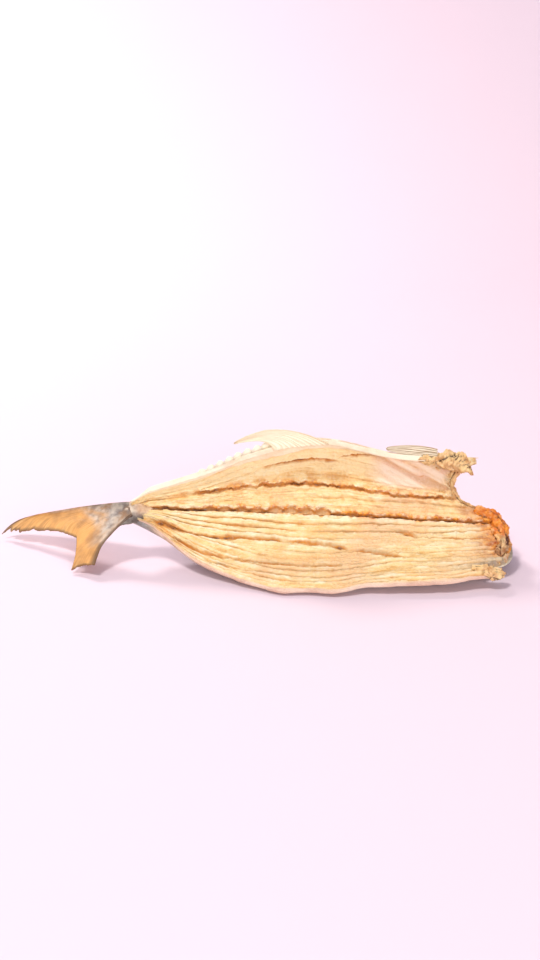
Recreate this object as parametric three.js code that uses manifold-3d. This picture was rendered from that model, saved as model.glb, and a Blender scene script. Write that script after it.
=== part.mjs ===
// A headless salted fish, split along the belly from the neck to the tail root, opened out and
// dried.  It is one dried animal: a curved slab of flesh with its skin on, the backbone lying in
// the slab, and the fins that are still attached.
//
// Millimetres.  +X runs from the tail to the neck cut, +Z is up and -Y is the open, flesh side.
// The near half of the fish lies towards -Y, down to its belly edge on the surface below; the far
// half stands up behind and curls over at its own belly edge.  The back of the fish is the thick
// ridge underneath, which the whole thing rests on.  The exported group is moved so that the
// centre of the bounding box's bottom face is the origin.

import * as THREE from "three";
import { mergeVertices } from "three/addons/utils/BufferGeometryUtils.js";
import Module from "manifold-3d";

const wasm = await Module();
wasm.setup();

// ---------------------------------------------------------------- driving dimensions

const TAIL_ROOT_X = -126; // where the body ends and the tail fin begins
const JOINT_GAP = 0.4; // between pieces that touch
const WALL_AT_BACK = 10; // flesh and skin together, beside the backbone
const WALL_AT_EDGE = 5; // the same at the belly edges
const BACK_HALF_WIDTH = 30; // how far the thick back reaches to each side of the backbone
const BACK_DIRECTION = new THREE.Vector2(0.35, -0.94); // in Y, Z: the back bulges down, a little away
const LIP_STARTS = 0.84; // share of the far half where the belly skin begins to roll over
const BONE_COUNT = 23; // vertebrae from the tail root to the neck cut
const BONE_RADIUS = 4.6; // at the neck
const BONE_RADIUS_AT_TAIL = 2.6;
const BONE_WAIST = 0.26; // how far each vertebra narrows between its two rims
const BONE_SINK = 2.2; // the backbone's centre line below the flesh beside it
const CHANNEL_CLEARANCE = 0.8; // between the backbone's rims and the channel it lies in
const CHANNEL_OVERRUN = 4; // how far the channel's cutter passes each end, per millimetre of clearance
const FIN_THICKNESS = 1.8;
const FOLDED_FIN_THICKNESS = 1.6; // of a fin that lies flat on the skin
const FOLDED_FIN_GAP = 0.7; // under it, so that its facets clear the skin's

// Cross-sections from the tail root to the neck.  The spine is where the two halves meet.  A half
// is a strip of the given width; it leaves the spine at one angle and ends at another, in degrees:
// below the horizontal for the near half, above it for the far half.
const SECTIONS = [
  { x: -126, spine: [96, 56], near: [11, 60, 45], far: [15, 70, 100], back: 10, roll: 10 },
  { x: -103, spine: [98, 55], near: [22, 52, 45], far: [21, 65, 105], back: 14, roll: 30 },
  { x: -55, spine: [103, 51], near: [68, 42, 26], far: [41, 60, 110], back: 24, roll: 60 },
  { x: 4, spine: [109, 47], near: [105, 31, 16], far: [70, 55, 118], back: 42, roll: 70 },
  { x: 62, spine: [112, 43], near: [121, 27, 10], far: [87, 52, 120], back: 40, roll: 70 },
  { x: 141, spine: [112, 38], near: [109, 22, 7], far: [73, 52, 118], back: 35, roll: 60 },
  { x: 194, spine: [110, 35], near: [101, 20, 6], far: [71, 52, 112], back: 31, roll: 40 },
  { x: 256, spine: [108, 33], near: [88, 18, 6], far: [67, 52, 108], back: 26, roll: 20 },
];

// The neck cut, as how far the body reaches in X at each place across it: from the near belly
// edge (-1) over the spine (0) to the far belly edge (1).
const NECK_CUT = [
  [-1, 238],
  [-0.88, 243],
  [-0.78, 222],
  [-0.66, 246],
  [-0.4, 256],
  [0, 253],
  [0.14, 244],
  [0.3, 212],
  [0.5, 200],
  [0.75, 205],
  [1, 224],
];

// ---------------------------------------------------------------- curves through given points

const radians = THREE.MathUtils.degToRad;

// A smooth curve through knots that are not evenly spaced, as a cubic for each interval.
function through(knots, at) {
  const last = knots.length - 1;
  const slope = (i) => {
    const [a, b] = [knots[Math.max(i - 1, 0)], knots[Math.min(i + 1, last)]];
    return (b[1] - a[1]) / (b[0] - a[0]);
  };
  let i = 0;
  while (i < last - 1 && at > knots[i + 1][0]) i += 1;
  const width = knots[i + 1][0] - knots[i][0];
  const t = THREE.MathUtils.clamp((at - knots[i][0]) / width, 0, 1);
  const [t2, t3] = [t * t, t * t * t];
  return (
    (2 * t3 - 3 * t2 + 1) * knots[i][1] +
    (t3 - 2 * t2 + t) * width * slope(i) +
    (3 * t2 - 2 * t3) * knots[i + 1][1] +
    (t3 - t2) * width * slope(i + 1)
  );
}

const along = (pick) => SECTIONS.map((section) => [section.x, pick(section)]);
const SPINE_Y = along((s) => s.spine[0]);
const SPINE_Z = along((s) => s.spine[1]);
const BACK = along((s) => s.back);
const ROLL = along((s) => s.roll);
const half = (side) => [0, 1, 2].map((k) => along((s) => s[side][k])); // width, angle at spine, at edge
const HALVES = { near: half("near"), far: half("far") };

// ---------------------------------------------------------------- the body's surfaces

// The flesh side at X = x, across = -1 (near belly edge) to 1 (far belly edge), and the direction
// that points out through the skin there.
function fleshAt(x, across) {
  const side = across < 0 ? -1 : 1;
  const [width, atSpine, atEdge] = HALVES[side < 0 ? "near" : "far"].map((knots) => through(knots, x));
  const reach = Math.abs(across);
  const steps = 40;
  const point = new THREE.Vector3(x, through(SPINE_Y, x), through(SPINE_Z, x));
  let angle = radians(atSpine);
  for (let i = 0; i < steps; i += 1) {
    const share = ((i + 0.5) / steps) * reach;
    const rolled = side > 0 ? THREE.MathUtils.smoothstep(share, LIP_STARTS, 1) * through(ROLL, x) : 0;
    angle = radians(atSpine + (atEdge - atSpine) * share + rolled);
    point.y += (side * Math.cos(angle) * width * reach) / steps;
    point.z += (side * Math.sin(angle) * width * reach) / steps;
  }
  const out = new THREE.Vector3(0, Math.sin(angle), -Math.cos(angle));
  return { point, out, fromSpine: reach * width };
}

// The skin side, below and behind the flesh.  Nothing reaches below the surface it rests on.
function skinAt(x, across) {
  const { point, out, fromSpine } = fleshAt(x, across);
  const wall = THREE.MathUtils.lerp(WALL_AT_BACK, WALL_AT_EDGE, Math.abs(across));
  const bulge = through(BACK, x) * Math.exp(-((fromSpine / BACK_HALF_WIDTH) ** 2));
  const skin = point.addScaledVector(out, wall);
  skin.y += BACK_DIRECTION.x * bulge;
  skin.z += BACK_DIRECTION.y * bulge;
  return skin;
}

// ---------------------------------------------------------------- solids

// Keeps positions alone and shares the vertices of neighbouring faces, as a closed solid needs.
function closed(geometry) {
  geometry.deleteAttribute("normal");
  geometry.deleteAttribute("uv");
  return mergeVertices(geometry, 1e-4);
}

// Moves every vertex of a geometry to the place that a function gives it.
function bent(geometry, place) {
  const solid = closed(geometry);
  const position = solid.getAttribute("position");
  const from = new THREE.Vector3();
  for (let i = 0; i < position.count; i += 1) {
    const to = place(from.fromBufferAttribute(position, i).clone());
    position.setXYZ(i, to.x, to.y, to.z);
  }
  return solid;
}

function toManifold(geometry) {
  return new wasm.Manifold(
    new wasm.Mesh({
      numProp: 3,
      vertProperties: new Float32Array(geometry.getAttribute("position").array),
      triVerts: new Uint32Array(geometry.index.array),
    }),
  );
}

function fromManifold(solid) {
  const mesh = solid.getMesh();
  return new THREE.BufferGeometry()
    .setAttribute("position", new THREE.BufferAttribute(mesh.vertProperties, 3))
    .setIndex(new THREE.BufferAttribute(mesh.triVerts, 1));
}

// A slab over the body: u runs from the tail to the neck, across as in fleshAt, and depth 0 to 1
// from its upper to its lower face.
function slab(columns, rows, layers, place) {
  const block = new THREE.BoxGeometry(1, 1, 1, columns, rows, layers);
  return bent(block, (p) => place(p.x + 0.5, p.y * 2, 0.5 - p.z));
}

// The body, before the backbone's channel is cut.
function bodySlab() {
  return slab(36, 22, 2, (u, across, depth) => {
    const x = THREE.MathUtils.lerp(TAIL_ROOT_X, through(NECK_CUT, across), u);
    const placed = fleshAt(x, across).point.lerp(skinAt(x, across), depth);
    placed.z = Math.max(placed.z, 0);
    return placed;
  });
}

// The backbone's centre line, u from the tail to the neck.
function boneLine(u) {
  const x = THREE.MathUtils.lerp(TAIL_ROOT_X + 4, through(NECK_CUT, 0) + 2, u);
  const { point, out } = fleshAt(x, 0);
  return point.addScaledVector(out, BONE_SINK);
}

// A chain of vertebrae, each narrow in the middle and wide at its two rims.  extra fattens it all.
function boneChain(sides, steps, waist, extra) {
  return bent(new THREE.CylinderGeometry(1, 1, 1, sides, steps), (p) => {
    const u = p.y + 0.5;
    const rim = Math.cos(u * BONE_COUNT * Math.PI * 2) * 0.5 + 0.5;
    const atRim = THREE.MathUtils.lerp(BONE_RADIUS_AT_TAIL, BONE_RADIUS, u);
    const radius = atRim * (1 - waist * (1 - rim)) + extra;
    const past = (2 * u - 1) * extra * CHANNEL_OVERRUN;
    return boneLine(u).add(new THREE.Vector3(past, -p.x * radius, p.z * radius));
  });
}

// A flat fin: its outline in a plane, through the fin's thickness, set on a frame of three axes.
function flatFin(outline, origin, lengthwise, sideways) {
  const u = lengthwise.clone().normalize();
  const n = new THREE.Vector3().crossVectors(u, sideways).normalize();
  const v = new THREE.Vector3().crossVectors(n, u);
  const plate = { depth: FIN_THICKNESS, bevelEnabled: false, curveSegments: 6 };
  const fin = new THREE.ExtrudeGeometry(outline, plate);
  fin.translate(0, 0, -FIN_THICKNESS / 2);
  fin.applyMatrix4(new THREE.Matrix4().makeBasis(u, v, n).setPosition(origin));
  return closed(fin);
}

// ---------------------------------------------------------------- fins

// The tail fin lies in a plane that drops from the tail root towards the tip and leans down towards
// the near half, so that both of its lobes reach down to the surface.
const TAIL_ORIGIN = new THREE.Vector3(TAIL_ROOT_X - JOINT_GAP, 96, 55);
const TAIL_DROOP = radians(29); // of its length, below the horizontal
const TAIL_LEAN = radians(28); // of its width, below the horizontal
const TAIL_LENGTHWISE = new THREE.Vector3(-Math.cos(TAIL_DROOP), 0, -Math.sin(TAIL_DROOP));
const TAIL_SIDEWAYS = new THREE.Vector3(0, -Math.cos(TAIL_LEAN), -Math.sin(TAIL_LEAN));

// A forked fin, with reaches from the middle of its root and turns from its own axis, in degrees.
// One lobe is whole and swept to a tip.  The other is broken off short, and its broken edge runs
// between two corners: one on the fork's side and one on its leading edge.
const TAIL_FIN = {
  rootHalf: 10,
  overlap: 2, // how far its root starts past the origin
  forkShare: 0.4, // of the whole lobe's reach
  whole: { reach: 160, turn: -20 },
  shoulder: { share: 0.85, turn: -9 }, // where the leading edge bends round to the tip
  brokenAtFork: { reach: 85, turn: 28 },
  brokenAtLead: { reach: 70, turn: 45 },
  bows: { lead: -4, tip: -6, trail: 10, fork: 2, break: 1.5, brokenLead: 8 },
};

function polar(reach, turn) {
  return [reach * Math.cos(radians(turn)), reach * Math.sin(radians(turn))];
}

// The control point of a quadratic curve from a to b whose middle lies bow to the left of the
// straight line between them.
function bowed([ax, ay], [bx, by], bow) {
  const aside = (2 * bow) / Math.hypot(bx - ax, by - ay);
  return [(ax + bx) / 2 - aside * (by - ay), (ay + by) / 2 + aside * (bx - ax)];
}

function tailOutline() {
  const { rootHalf, overlap, forkShare, whole, shoulder, brokenAtFork, brokenAtLead, bows } = TAIL_FIN;
  const wholeRoot = [overlap, -rootHalf];
  const brokenRoot = [overlap, rootHalf];
  const bend = polar(whole.reach * shoulder.share, whole.turn + shoulder.turn);
  const tip = polar(whole.reach, whole.turn);
  const fork = [whole.reach * forkShare, 0];
  const forkCorner = polar(brokenAtFork.reach, brokenAtFork.turn);
  const leadCorner = polar(brokenAtLead.reach, brokenAtLead.turn);
  const fin = new THREE.Shape();
  fin.moveTo(...wholeRoot);
  fin.quadraticCurveTo(...bowed(wholeRoot, bend, bows.lead), ...bend);
  fin.quadraticCurveTo(...bowed(bend, tip, bows.tip), ...tip);
  fin.quadraticCurveTo(...bowed(tip, fork, bows.trail), ...fork);
  fin.quadraticCurveTo(...bowed(fork, forkCorner, bows.fork), ...forkCorner);
  fin.lineTo(...bowed(forkCorner, leadCorner, bows.break));
  fin.lineTo(...leadCorner);
  fin.quadraticCurveTo(...bowed(leadCorner, brokenRoot, bows.brokenLead), ...brokenRoot);
  fin.closePath();
  return fin;
}

// The anal fin stands on the far belly edge: a row of low finlets, then its tall front lobe, which
// sweeps back over them.  Its outline is in X and height, and follows the edge below it.
const ANAL_FIN = {
  from: -60,
  to: 72,
  finlets: 8,
  finletRise: 2.7, // of a finlet's tip over the fin's low base
  notchShare: 0.6, // height left in the notch between two finlets, as a share of the base
  baseHeight: 3.5,
  lobeFrom: 18,
  lobeTipX: -24,
  lobeRise: 15,
};

function lipTop(x) {
  let top = fleshAt(x, 1).point;
  for (let across = LIP_STARTS - 0.1; across < 1; across += 0.02) {
    const skin = skinAt(x, across);
    if (skin.z > top.z) top = skin;
  }
  return top;
}

function analFinOutline() {
  const { from, to, finlets, finletRise, notchShare } = ANAL_FIN;
  const { baseHeight, lobeFrom, lobeTipX, lobeRise } = ANAL_FIN;
  const above = (x) => lipTop(x).z + JOINT_GAP;
  const fin = new THREE.Shape();
  const baseSteps = 16;
  fin.moveTo(from, above(from));
  for (let i = 1; i <= baseSteps; i += 1) {
    const x = THREE.MathUtils.lerp(from, to, i / baseSteps);
    fin.lineTo(x, above(x));
  }
  fin.quadraticCurveTo(40, above(40) + 14, 8, above(8) + lobeRise + 4);
  fin.quadraticCurveTo(-10, above(-10) + lobeRise + 6, lobeTipX, above(lobeTipX) + lobeRise);
  fin.quadraticCurveTo(0, above(0) + lobeRise, lobeFrom - 2, above(lobeFrom) + baseHeight + 2);
  for (let i = finlets - 1; i >= 0; i -= 1) {
    const [near, far] = [i, i + 1].map((k) => THREE.MathUtils.lerp(from, lobeFrom - 6, k / finlets));
    fin.lineTo(far, above(far) + baseHeight * notchShare);
    fin.lineTo(near + 2, above(near + 2) + baseHeight + finletRise);
  }
  fin.closePath();
  return fin;
}

// The pelvic fin lies folded back along the same edge, close to the neck.
const PELVIC_ROOT_X = 176;
const PELVIC_LIFT = 2; // of its root over the edge, so that its tip clears the edge's slope

function pelvicFinOutline() {
  const fin = new THREE.Shape();
  fin.moveTo(0, 0);
  fin.quadraticCurveTo(-20, 11, -48, 10);
  fin.quadraticCurveTo(-50, 4, -36, 0.5);
  fin.closePath();
  return fin;
}

// A fin folded flat on the skin: a thin slab over the stretch tail to neck, between two edges that
// acrossAt gives for its share along that stretch.
function foldedFin({ tail, neck, acrossAt }) {
  return slab(20, 4, 1, (u, side, depth) => {
    const x = THREE.MathUtils.lerp(tail, neck, u);
    const across = THREE.MathUtils.lerp(...acrossAt(u), (side + 1) / 2);
    const onSkin = skinAt(x, across);
    return onSkin.addScaledVector(fleshAt(x, across).out, FOLDED_FIN_GAP + depth * FOLDED_FIN_THICKNESS);
  });
}

// The dorsal fin starts on the ridge of the back and is folded up behind: a tall front lobe swept
// towards the tail, then a low run of rays.
const DORSAL_FIN = {
  tail: -70,
  neck: 118,
  acrossAt: (u) => {
    const low = 0.04 * THREE.MathUtils.smoothstep(u, 0, 0.1);
    const risen = THREE.MathUtils.smoothstep(u, 0.45, 0.72);
    const fallen = THREE.MathUtils.smoothstep(u, 0.78, 1);
    const lobe = 0.2 * risen * (1 - fallen);
    return [0.1, 0.13 + low + lobe];
  },
};

// The pectoral fin of the far half lies back along its skin, behind the neck cut.
const PECTORAL_FIN = {
  tail: 122,
  neck: 190,
  acrossAt: (u) => {
    const middle = THREE.MathUtils.lerp(0.42, 0.52, u);
    const halfWidth = 0.02 + 0.07 * Math.sin(Math.PI * THREE.MathUtils.lerp(0.05, 0.8, u));
    return [middle - halfWidth, middle + halfWidth];
  },
};

// ---------------------------------------------------------------- the assembly

const finish = (color, roughness) => new THREE.MeshStandardMaterial({ color, roughness, metalness: 0 });
const FLESH = finish("#e8cd95", 0.7);
const BONE = finish("#c98b4a", 0.6);
const FIN = finish("#c9934e", 0.65);
const PALE_FIN = finish("#efe3c4", 0.65);

function piece(name, geometry, material) {
  const mesh = new THREE.Mesh(geometry, material);
  mesh.name = name;
  return mesh;
}

const channel = toManifold(boneChain(10, 30, 0, CHANNEL_CLEARANCE));
const body = toManifold(bodySlab()).subtract(channel);

const pelvicRoot = lipTop(PELVIC_ROOT_X).add(new THREE.Vector3(0, 0, JOINT_GAP + PELVIC_LIFT));
const analRoot = new THREE.Vector3(0, lipTop(0).y, 0);
const analAxes = [new THREE.Vector3(1, 0.02, 0), new THREE.Vector3(0, 0, 1)];
const analFin = flatFin(analFinOutline(), analRoot, ...analAxes);
const pelvicAxes = [new THREE.Vector3(1, 0.05, 0), new THREE.Vector3(0, 0.1, 1)];
const pelvicFin = flatFin(pelvicFinOutline(), pelvicRoot, ...pelvicAxes);

const fish = new THREE.Group();
fish.add(
  piece("split_body", fromManifold(body), FLESH),
  piece("backbone", boneChain(8, BONE_COUNT * 4, BONE_WAIST, 0), BONE),
  piece("tail_fin", flatFin(tailOutline(), TAIL_ORIGIN, TAIL_LENGTHWISE, TAIL_SIDEWAYS), FIN),
  piece("anal_fin", analFin, PALE_FIN),
  piece("pelvic_fin", pelvicFin, PALE_FIN),
  piece("dorsal_fin", foldedFin(DORSAL_FIN), FIN),
  piece("pectoral_fin", foldedFin(PECTORAL_FIN), FIN),
);

const box = new THREE.Box3().setFromObject(fish);
const centre = box.getCenter(new THREE.Vector3());
fish.position.set(-centre.x, -centre.y, -box.min.z);

export default fish;
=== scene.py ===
# %% [markdown]
# # A dried salted fish
# A fish without its head, split along the belly, opened out and dried.  Its flesh side faces -Y,
# its backbone lies in the groove between the two halves, and its fins are still attached.  The
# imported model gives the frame: every piece below is placed from its boxes, in metres.

# %% Load the frame
import math
import bpy
import numpy as np
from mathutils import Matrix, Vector


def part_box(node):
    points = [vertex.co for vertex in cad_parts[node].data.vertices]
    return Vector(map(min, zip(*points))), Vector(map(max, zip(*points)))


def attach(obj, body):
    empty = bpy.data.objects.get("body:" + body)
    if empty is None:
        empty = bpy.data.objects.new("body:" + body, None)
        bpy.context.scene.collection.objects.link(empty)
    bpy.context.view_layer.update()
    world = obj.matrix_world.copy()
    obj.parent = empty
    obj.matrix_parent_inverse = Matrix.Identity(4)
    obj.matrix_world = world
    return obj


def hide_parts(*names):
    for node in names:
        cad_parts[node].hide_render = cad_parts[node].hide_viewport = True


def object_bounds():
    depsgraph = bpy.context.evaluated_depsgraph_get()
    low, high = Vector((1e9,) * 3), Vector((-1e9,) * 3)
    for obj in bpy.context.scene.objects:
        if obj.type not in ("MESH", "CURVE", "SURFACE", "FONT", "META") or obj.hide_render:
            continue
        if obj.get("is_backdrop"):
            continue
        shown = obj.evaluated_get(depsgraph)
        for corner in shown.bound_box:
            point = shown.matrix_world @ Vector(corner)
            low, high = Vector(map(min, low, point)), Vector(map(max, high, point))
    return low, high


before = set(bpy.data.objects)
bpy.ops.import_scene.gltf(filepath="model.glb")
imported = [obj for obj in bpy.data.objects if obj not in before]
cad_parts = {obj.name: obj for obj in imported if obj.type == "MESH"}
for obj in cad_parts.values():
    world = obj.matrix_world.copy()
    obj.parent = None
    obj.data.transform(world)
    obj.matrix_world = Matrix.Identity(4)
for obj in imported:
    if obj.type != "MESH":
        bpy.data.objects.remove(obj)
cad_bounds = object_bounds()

print("nodes:", sorted(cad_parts))

# %% [markdown]
# ## The shape of the split body
# Each cross-section is two strips that leave the backbone at an angle and curve as they go.  The
# near half falls away to the surface below, and the far half stands up and rolls over at its edge.
# Writing it as a function of place along and across lets every layer, fin and furrow share it.

# %% Driving dimensions, in millimetres
MM = 0.001
TAIL_ROOT_X = -126
WALL_AT_BACK = 10
WALL_AT_EDGE = 5
BACK_HALF_WIDTH = 30
BACK_DIRECTION = np.array([0.35, -0.94])
LIP_STARTS = 0.84
SECTIONS = [
    dict(x=-126, spine=(96, 56), near=(11, 60, 45), far=(15, 70, 100), back=10, roll=10),
    dict(x=-103, spine=(98, 55), near=(22, 52, 45), far=(21, 65, 105), back=14, roll=30),
    dict(x=-55, spine=(103, 51), near=(68, 42, 26), far=(41, 60, 110), back=24, roll=60),
    dict(x=4, spine=(109, 47), near=(105, 31, 16), far=(70, 55, 118), back=42, roll=70),
    dict(x=62, spine=(112, 43), near=(121, 27, 10), far=(87, 52, 120), back=40, roll=70),
    dict(x=141, spine=(112, 38), near=(109, 22, 7), far=(73, 52, 118), back=35, roll=60),
    dict(x=194, spine=(110, 35), near=(101, 20, 6), far=(71, 52, 112), back=31, roll=40),
    dict(x=256, spine=(108, 33), near=(88, 18, 6), far=(67, 52, 108), back=26, roll=20),
]
NECK_CUT = [(-1, 238), (-0.88, 243), (-0.78, 222), (-0.66, 246), (-0.4, 256), (0, 253),
            (0.14, 244), (0.3, 212), (0.5, 200), (0.75, 205), (1, 224)]


# %% Curves through knots
def through(knots, at):
    """A smooth curve through knots that are not evenly spaced, for an array of places."""
    xs, ys = (np.array(c, float) for c in zip(*knots))
    before = np.concatenate([[0], np.arange(len(xs) - 1)])
    after = np.concatenate([np.arange(1, len(xs)), [len(xs) - 1]])
    slope = (ys[after] - ys[before]) / (xs[after] - xs[before])
    at = np.asarray(at, float)
    i = np.clip(np.searchsorted(xs, at) - 1, 0, len(xs) - 2)
    width = xs[i + 1] - xs[i]
    t = np.clip((at - xs[i]) / width, 0, 1)
    return ((2 * t**3 - 3 * t**2 + 1) * ys[i] + (t**3 - 2 * t**2 + t) * width * slope[i]
            + (3 * t**2 - 2 * t**3) * ys[i + 1] + (t**3 - t**2) * width * slope[i + 1])


def smooth(low, high, x):
    t = np.clip((x - low) / (high - low), 0, 1)
    return t * t * (3 - 2 * t)


def along(pick):
    return [(s["x"], pick(s)) for s in SECTIONS]


SPINE = [along(lambda s, k=k: s["spine"][k]) for k in (0, 1)]
NEAR = [along(lambda s, k=k: s["near"][k]) for k in (0, 1, 2)]
FAR = [along(lambda s, k=k: s["far"][k]) for k in (0, 1, 2)]
BACK = along(lambda s: s["back"])
ROLL = along(lambda s: s["roll"])


# %% Flesh and skin surfaces
def flesh_at(x, across):
    """Points on the flesh side, the direction out through the skin, and mm from the backbone."""
    side = np.where(across < 0, -1.0, 1.0)
    width, at_spine, at_edge = (np.where(side < 0, through(n, x), through(f, x))
                                for n, f in zip(NEAR, FAR))
    reach = np.abs(across)
    roll = np.where(side > 0, through(ROLL, x), 0)
    y, z = through(SPINE[0], x), through(SPINE[1], x)
    steps = 40
    angle = np.radians(at_spine)
    for i in range(steps):
        share = (i + 0.5) / steps * reach
        angle = np.radians(at_spine + (at_edge - at_spine) * share + smooth(LIP_STARTS, 1, share) * roll)
        y = y + side * np.cos(angle) * width * reach / steps
        z = z + side * np.sin(angle) * width * reach / steps
    out = np.stack([np.zeros_like(y), np.sin(angle), -np.cos(angle)], -1)
    return np.stack([x, y, z], -1), out, reach * width


def wall_at(across):
    return WALL_AT_BACK + (WALL_AT_EDGE - WALL_AT_BACK) * np.abs(across)


def skin_at(x, across):
    point, out, from_spine = flesh_at(x, across)
    bulge = through(BACK, x) * np.exp(-(from_spine / BACK_HALF_WIDTH) ** 2)
    skin = point + out * wall_at(across)[..., None]
    skin[..., 1:] += BACK_DIRECTION * bulge[..., None]
    return skin


def body_x(u, across):
    return TAIL_ROOT_X + (through(NECK_CUT, across) - TAIL_ROOT_X) * u


# %% Set the surfaces in the frame
u_test, a_test = np.meshgrid(np.linspace(0, 1, 37), np.linspace(-1, 1, 23), indexing="ij")
skin_test = skin_at(body_x(u_test, a_test), a_test)
flesh_test = flesh_at(body_x(u_test, a_test), a_test)[0]
body_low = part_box("split_body")[0]
SHIFT = np.array([body_low.x / MM - TAIL_ROOT_X,
                  body_low.y / MM - min(skin_test[..., 1].min(), flesh_test[..., 1].min()), 0.0])
print("design origin sits at", SHIFT.round(2), "mm in the frame")


# %% [markdown]
# ## Noise
# Dried flesh has no straight line in it.  A small value noise, made from a table of random numbers
# with a fixed seed, gives the same wobble every time, so the mesh never changes between runs.

# %% Seeded noise
LATTICE = np.random.default_rng(20).random((256, 256))


def value_noise(x, y, seed=0):
    x, y = np.broadcast_arrays(np.asarray(x, float) + 37.3 * seed, np.asarray(y, float) + 11.7 * seed)
    i, j = np.floor(x).astype(int), np.floor(y).astype(int)
    fx, fy = x - i, y - j
    fx, fy = fx * fx * (3 - 2 * fx), fy * fy * (3 - 2 * fy)
    def corner(di, dj):
        return LATTICE[(i + di) % 256, (j + dj) % 256]
    low = corner(0, 0) * (1 - fx) + corner(1, 0) * fx
    high = corner(0, 1) * (1 - fx) + corner(1, 1) * fx
    return (low * (1 - fy) + high * fy) * 2 - 1


def fractal(x, y, seed=0, octaves=4):
    total, weight = 0, 1.0
    for k in range(octaves):
        total = total + weight * value_noise(x * 2**k, y * 2**k, seed + k)
        weight *= 0.5
    return total / 1.9


# %% [markdown]
# ## Folds and furrows
# As the fish dries, its muscle shrinks into long folds that fan out from the tail root, with
# sharp valleys between them.  The folds are counted across the fish and the count is bent by
# noise, so the valleys wander and fade but never close into loops.  A few deep furrows are placed
# one by one.  Each runs over a span of the fish between two shares across it, with one bow, and its
# sides wander, so it looks torn.  Over the backbone the flesh opens at the vertebrae, one pitch
# apart.

# %% Furrows: span in millimetres, across at both ends, bow across at the middle, then the cut
FURROWS = [
    dict(span=(-110, 95), across=(-0.60, -0.40), bow=0.15, depth=2.6, width=2.4, jag=1.6, crest=0.6),
    dict(span=(-95, 90), across=(-0.80, -0.60), bow=0.05, depth=2.4, width=2.2, jag=1.6, crest=0.6),
    dict(span=(-60, 40), across=(-0.90, -0.80), bow=0.05, depth=1.8, width=1.6, jag=1.2, crest=0.4),
    dict(span=(90, 150), across=(-0.40, -0.55), bow=0.0, depth=4.6, width=3.0, jag=1.4, crest=0.9),
    dict(span=(130, 165), across=(-0.15, -0.25), bow=0.0, depth=4.6, width=3.2, jag=2.4, crest=1.2),
    dict(span=(150, 240), across=(-0.25, -0.25), bow=0.0, depth=2.2, width=1.3, jag=1.8, crest=0.9),
    dict(span=(-70, 205), across=(0.45, 0.35), bow=-0.05, depth=3.0, width=1.5, jag=3.0, crest=2.6),
    dict(span=(0, 85), across=(0.65, 0.65), bow=0.0, depth=4.4, width=1.5, jag=2.0, crest=1.4),
    dict(span=(75, 125), across=(0.65, 0.85), bow=0.05, depth=4.0, width=1.4, jag=2.0, crest=1.2),
]
TORN = FURROWS[6]  # the long tear of the far half, whose sides are stained
BONE_COUNT = 23
VERTEBRA_PITCH = (through(NECK_CUT, 0.0) - TAIL_ROOT_X) / BONE_COUNT
MOST_OPEN = (-40, 90)  # the stretch of the back over which the flesh has opened most
FAN_WIDTH = dict(near=118.0, far=80.0)


def line_of(furrow, x):
    (start, end), (first, last) = furrow["span"], furrow["across"]
    share = np.clip((x - start) / (end - start), 0, 1)
    return first + (last - first) * share + 4 * furrow["bow"] * share * (1 - share)


def groove(x, from_line, furrow, seed):
    """How deep a furrow is, its two curled lips, and its torn crest, off to one side of its line."""
    start, end = furrow["span"]
    ends = smooth(start, start + 16, x) * (1 - smooth(end - 16, end, x))
    jag = 0.7 * fractal(x / 9.0, 0 * x, seed, 3) + 0.5 * fractal(x / 2.8, 0 * x, seed + 1, 3)
    off = from_line + furrow["jag"] * jag
    open_by = furrow["width"] * (1 + 0.7 * fractal(x / 9.0, 0 * x + 5, seed))
    patchy = np.clip(0.75 + 0.7 * fractal(x / 14.0, 0 * x + 9, seed), 0.15, 1.1)
    lip = np.exp(-((np.abs(off) - open_by * 1.7) / (0.8 * open_by)) ** 2)
    crest = np.exp(-((off - open_by - 1.4) / 1.7) ** 2) * (0.6 + 0.9 * fractal(x / 3.0, off / 3.0, seed + 2))
    return ends * patchy * np.exp(-(off / open_by) ** 2), ends * lip, ends * crest


def valley(noise, sharpness):
    """1 in the thin lines where a noise crosses zero, and 0 away from them."""
    return np.clip(1 - np.abs(noise) * 2.2, 0, 1) ** sharpness


def folds_of(x, fan, pitch, cut, bend, seed):
    """One set of folds a pitch apart: how crowned they are, and the thin valleys between them."""
    count = (fan / pitch + bend * value_noise(x / 120, fan / (3.2 * pitch), seed)
             + 0.25 * fractal(x / 24, fan / (2 * pitch), seed + 1, 3))
    nearest = np.round(count)
    away = np.abs(count - nearest)
    fade = np.clip(0.55 + 1.3 * value_noise(x / (9 * pitch), nearest * 7.3, seed + 2), 0, 1)
    return fade * np.sin(np.pi * away) ** 0.7, fade * np.exp(-(away * pitch / cut) ** 2)


def fan_folds(x, fan, far):
    """Height and valleys of the folds; fan is the place across, which narrows with the body."""
    broad = value_noise(x / 95, fan / 12, 83) + 0.6 * value_noise(x / 60, fan / 7, 84)
    crowned, long_valley = folds_of(x, fan, 9.5, 1.1, 0.9, 86)
    small, short_valley = folds_of(x, fan, 3.4, 0.55, 0.7, 101)
    calm = np.where(far, 0.6, 1.0)
    fibre = fractal(x / 20, fan / 1.2, 90, 3)
    lumps = fractal(x / 17, fan / 5.5, 105, 3)
    height = 0.9 * broad + calm * (2.0 * crowned - 2.2 * long_valley) + 1.8 * lumps
    height += 0.45 * small - 0.5 * short_valley + 0.45 * fibre
    return height, long_valley * calm, short_valley


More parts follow.
